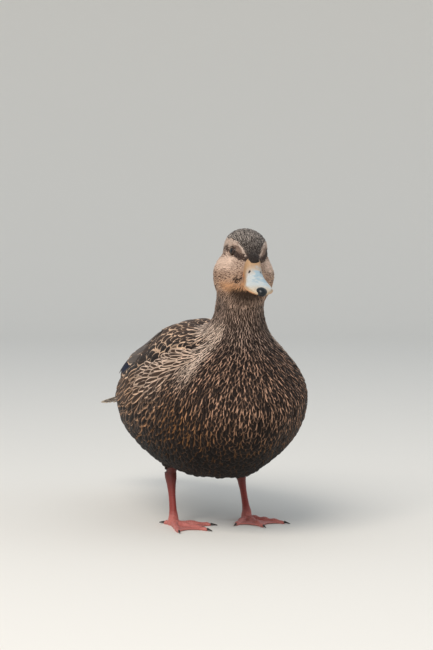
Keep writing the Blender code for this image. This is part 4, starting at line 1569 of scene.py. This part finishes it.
class DUCK_OT_bill(bpy.types.Operator):
    """Shapes her bill: both halves, the nostrils and the nail"""

    bl_idname = "duck.bill"
    bl_label = "Bill"

    def execute(self, context):
        look = context.scene.duck_bill
        finish = Finish("bill_horn", Coat_Weight=0.15, Coat_Roughness=0.3, Specular_IOR_Level=0.45)
        along, up, left = finish.parts(finish.attribute("bill_place", "Vector"))
        patches = finish.noise(110, 3)
        grain = finish.noise(700, 4)
        # Painted reflection of the sky: the top of the bill along its ridge is painted pale grey, with a bluish grey
        # patch beside it.
        ridge = (up + (patches - 0.5) * 0.5).step(0.30, 0.72) * along.step(0.08, 0.45)
        colour = finish.mix(ridge, look.side, look.ridge)
        painted_sky_reflection = (patches + left * 0.14).step(0.50, 0.62) * along.step(0.08, 0.28) * (1 - along.step(0.66, 0.8))
        colour = finish.mix(painted_sky_reflection * up.step(0.35, 0.6) * 0.8, colour, look.painted_sky_reflection)
        tip = along.step(0.72, 0.95)
        colour = finish.mix(tip * 0.8, colour, look.tip)
        edge = (1 - up.step(0.03, 0.22)) * (1 - along.step(0.9, 1.0))
        colour = finish.mix(edge * 0.8, colour, look.edge)
        colour = finish.shaded(colour, 1 + (grain - 0.5) * 0.5)
        # Painted shade: the nostrils are shallow pits, and the dark inside the open holes is painted on.
        colour = finish.mix(finish.attribute("pit").step(0.30, 0.62), colour, look.nostril)
        finish.feed(
            Base_Color=colour, Roughness=0.42 + (grain - 0.5) * 0.3,
            Normal=finish.bump(grain + patches, 0.12 * MM, 0.45),
        )
        upper = bill_half("bill_upper_half", BILL_HEIGHTS, 1.0, True)
        upper.data.materials.append(finish.material)
        finish_piece(upper, "bill_horn", "bill_upper")
        lower = bill_half("bill_lower_half", BILL_DEPTHS, LOWER_WIDTH, False)
        lower.data.transform(bill_matrix() @ Matrix.Diagonal((1, 0.965, 1, 1)) @ bill_matrix().inverted())
        under = grained("bill_under", 500, 0.75 * np.array(look.edge[:]), look.side, Roughness=0.5)
        lower.data.materials.append(under)
        finish_piece(lower, "bill_horn", "bill_lower")
        deselect_all()
        bpy.ops.mesh.primitive_uv_sphere_add(segments=40, ring_count=28, radius=MM)
        nail = bpy.context.object
        nail.name = "nail"
        places = vertex_places(nail.data) / MM
        forwards = np.clip(-places[:, 1], 0, 1)
        places[:, 2] -= 0.22 * forwards**3
        places[:, 0] *= 1 - 0.12 * forwards
        set_vertex_places(nail.data, places * np.array(NAIL_RADII) * MM)
        nail.data.transform(bill_matrix() @ Matrix.Translation(NAIL_PLACE))
        nail.data.shade_smooth()
        nail.data.materials.append(grained(
            "nail_horn", 600, look.nail, 1.8 * np.array(look.nail[:]), roughness=(0.26, 0.15),
            Coat_Weight=0.2, Coat_Roughness=0.2, Specular_IOR_Level=0.3,
        ))
        finish_piece(nail, "nail_horn", "bill_nail")
        return {"FINISHED"}


# --- Legs, feet and claws ---


class DUCK_OT_legs(bpy.types.Operator):
    """Makes her shanks and webbed feet with their plates and creases, standing on flat soles"""

    bl_idname = "duck.legs"
    bl_label = "Legs and feet"

    def execute(self, context):
        look = context.scene.duck_legs
        finish = Finish("leg_skin", Coat_Weight=0.08, Coat_Roughness=0.4, Specular_IOR_Level=0.4)
        _, _, z = finish.parts(finish.coordinates())
        crease = finish.attribute("crease")
        patches = finish.noise(130, 3)
        scales = finish.node(
            "ShaderNodeTexVoronoi", {"feature": "DISTANCE_TO_EDGE"}, Scale=1100.0, Vector=finish.coordinates()
        )
        gaps = 1 - scales.step(0.03, 0.16)
        colour = finish.mix(z.step(0.004, 0.016), look.foot, look.shank)
        # Painted shade: the shanks darken to dusky red towards the top, under her belly.
        colour = finish.mix(z.step(0.020, 0.052), colour, look.shade)
        colour = finish.mix((patches - 0.35) * 0.7, colour, 0.6 * np.array(look.shank[:]))
        colour = finish.mix((gaps * 0.35).most(crease * 0.75), colour, look.crease)
        finish.feed(
            Base_Color=colour, Roughness=0.5 + (patches - 0.5) * 0.2,
            Normal=finish.bump(patches * 0.5 - gaps * 0.5, 0.2 * MM, 0.5),
        )
        for name, side in SIDES.items():
            leg = nodes_copy(f"leg_{name}", (f"shank_{name}", f"foot_{name}"))
            knee, hock = (mirrored(place, side) for place in THIGH_LINE)
            upward = (knee - hock).normalized()
            deselect_all()
            bpy.ops.mesh.primitive_cone_add(
                vertices=32, radius1=SHANK_TOP_RADII[0] * MM, radius2=SHANK_TOP_RADII[1] * MM,
                depth=SHANK_TOP_LENGTH * MM, location=hock + upward * SHANK_TOP_RISE * MM,
                rotation=upward.to_track_quat("Z", "Y").to_euler(),
            )
            join_to(leg, bpy.context.object)
            modify(leg, "REMESH", mode="VOXEL", voxel_size=look.voxel)
            keep_largest(leg)
            modify(leg, "SMOOTH", factor=0.5, iterations=4)
            places = vertex_places(leg.data)
            normals = vertex_places(leg.data, "normal")
            ankle = np.array(box_middle(f"shank_{name}"))
            low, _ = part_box(f"shank_{name}")
            out = np.hypot(places[:, 0] - ankle[0], places[:, 1] - low.y - 0.006)
            on_shank = ease(places[:, 2], 0.010, 0.014)
            front = ease(-normals[:, 1], 0.1, 0.6) * on_shank
            on_toes = (1 - on_shank) * ease(places[:, 2], 0.0022, 0.0034) * ease(normals[:, 2], 0.1, 0.5)
            rows = np.abs(np.sin(math.pi * places[:, 2] / look.plate)) ** 0.6
            rings = np.abs(np.sin(math.pi * out / (look.plate * 0.8))) ** 0.6
            raised = front * rows + on_toes * rings
            moved = places + normals * (PLATE_RELIEF * (raised - 0.5 * (front + on_toes)))[:, None]
            moved[:, 2] = np.where(moved[:, 2] < SOLE_HEIGHT, 0, moved[:, 2])
            set_vertex_places(leg.data, moved)
            depth = front * (1 - ease(rows, 0.2, 0.7)) + on_toes * (1 - ease(rings, 0.2, 0.7))
            set_numbers(leg.data, "crease", depth)
            leg.data.shade_smooth()
            leg.data.materials.append(finish.material)
            finish_piece(leg, "leg_skin", f"shank_{name}", f"foot_{name}")
        return {"FINISHED"}


class DUCK_OT_claws(bpy.types.Operator):
    """Rounds her claws, each seated in its toe"""

    bl_idname = "duck.claws"
    bl_label = "Claws"

    def execute(self, context):
        look = context.scene.duck_legs
        pale = 2.2 * np.array(look.claw[:])
        horn = grained("claw_horn", 800, look.claw, pale, roughness=(0.35, 0.2), Specular_IOR_Level=0.45)
        for name in SIDES:
            heel = np.array(box_middle(f"foot_{name}"))
            for toe in ("inner", "middle", "outer", "hind"):
                node = f"claw_{name}_{toe}"
                claw = nodes_copy(f"horn_{name}_{toe}", (node,))
                modify(claw, "SUBSURF", levels=2, render_levels=2)
                places = vertex_places(claw.data)
                centre = places.mean(0)
                grown = centre + (places - centre) * np.array(CLAW_GROWTH)
                back = heel - centre
                back[2] = 0
                grown += unit(back) * CLAW_SEAT * MM
                grown[:, 2] = np.maximum(grown[:, 2], 0.15 * MM)
                set_vertex_places(claw.data, grown)
                claw.data.shade_smooth()
                claw.data.materials.append(horn)
                finish_piece(claw, "claw_horn", node)
        return {"FINISHED"}


# --- Stage ---


class DUCK_OT_stage(bpy.types.Operator):
    """Lays a pale floor that rises all round, sets soft lamps and the camera"""

    bl_idname = "duck.stage"
    bl_label = "Stage"

    def execute(self, context):
        look = context.scene.duck_stage
        deselect_all()
        bpy.ops.mesh.primitive_circle_add(vertices=96, radius=FLOOR_RADIUS, fill_type="NGON", location=(0, 0, 0))
        floor = bpy.context.object
        floor.name = "floor"
        bpy.ops.object.mode_set(mode="EDIT")
        bpy.ops.mesh.select_all(action="DESELECT")
        bpy.ops.mesh.select_mode(type="EDGE")
        bpy.ops.mesh.select_all(action="SELECT")
        bpy.ops.mesh.region_to_loop()
        radius = FLOOR_RADIUS
        for step in range(1, 11):
            angle = math.radians(9 * step)
            out = FLOOR_RADIUS + FLOOR_RISE * math.sin(angle)
            bpy.ops.mesh.extrude_edges_move()
            bpy.ops.transform.resize(value=(out / radius, out / radius, 1))
            climb = FLOOR_RISE * (math.cos(math.radians(9 * (step - 1))) - math.cos(angle))
            bpy.ops.transform.translate(value=(0, 0, climb))
            radius = out
        bpy.ops.object.mode_set(mode="OBJECT")
        floor.data.shade_smooth()
        finish = Finish("floor", Roughness=0.9, Specular_IOR_Level=0.1)
        floor.data.materials.append(finish.feed(Base_Color=look.floor))
        world = bpy.data.worlds.new("sky")
        world.use_nodes = True
        background = world.node_tree.nodes["Background"]
        background.inputs["Color"].default_value = (*SKY_COLOUR, 1)
        background.inputs["Strength"].default_value = look.sky
        context.scene.world = world
        lamps = {
            "main_lamp": ((-1.5, -1.5, 2.1), look.key, 1.6, (1.0, 0.94, 0.87)),
            "fill_lamp": ((1.8, -0.9, 1.2), look.fill, 1.4, SKY_COLOUR),
        }
        for name, (place, power, wide, colour) in lamps.items():
            lamp = bpy.data.lights.new(name, "AREA")
            lamp.energy, lamp.size, lamp.color = power, wide, colour
            held = link_object(name, lamp)
            held.location = place
            held.rotation_euler = (Vector((0, -0.02, 0.14)) - Vector(place)).to_track_quat("-Z", "Y").to_euler()
        camera = bpy.data.cameras.new("camera")
        camera.lens = CAMERA_LENS
        camera.clip_start = 0.02
        held = link_object("camera", camera)
        back = Vector((math.sin(CAMERA_HEADING), -math.cos(CAMERA_HEADING), 0))
        look_way = -back * math.cos(CAMERA_PITCH) - Vector((0, 0, math.sin(CAMERA_PITCH)))
        held.location = CAMERA_PLACE
        held.rotation_euler = look_way.to_track_quat("-Z", "Y").to_euler()
        context.scene.camera = held
        context.scene.view_settings.view_transform = "Standard"
        return {"FINISHED"}


OPERATORS = (
    DUCK_OT_skin,
    DUCK_OT_head_plumage,
    DUCK_OT_neck_plumage,
    DUCK_OT_body_plumage,
    DUCK_OT_wing_feathers,
    DUCK_OT_tail_feathers,
    DUCK_OT_eyes,
    DUCK_OT_bill,
    DUCK_OT_legs,
    DUCK_OT_claws,
    DUCK_OT_stage,
)
SETTINGS = {
    "duck_plumage": PlumageSettings,
    "duck_bill": BillSettings,
    "duck_eyes": EyeSettings,
    "duck_legs": LegSettings,
    "duck_stage": StageSettings,
}


class DUCK_PT_panel(bpy.types.Panel):
    """Lists what the duck is made of"""

    bl_label = "Duck"
    bl_space_type = "VIEW_3D"
    bl_region_type = "UI"
    bl_category = "Duck"

    def draw(self, context):
        for operator in OPERATORS:
            self.layout.operator(operator.bl_idname)
        for name, group in SETTINGS.items():
            box = self.layout.box()
            for setting in group.__annotations__:
                box.prop(getattr(context.scene, name), setting)


def register():
    for group in SETTINGS.values():
        bpy.utils.register_class(group)
    for name, group in SETTINGS.items():
        setattr(bpy.types.Scene, name, PointerProperty(type=group))
    for shown in (*OPERATORS, DUCK_PT_panel):
        bpy.utils.register_class(shown)


def unregister():
    for shown in (DUCK_PT_panel, *reversed(OPERATORS)):
        bpy.utils.unregister_class(shown)
    for name, group in SETTINGS.items():
        delattr(bpy.types.Scene, name)
        bpy.utils.unregister_class(group)


def main():
    register()
    for operator in OPERATORS:
        group, name = operator.bl_idname.split(".")
        getattr(getattr(bpy.ops, group), name)()


if __name__ == "__main__":
    main()
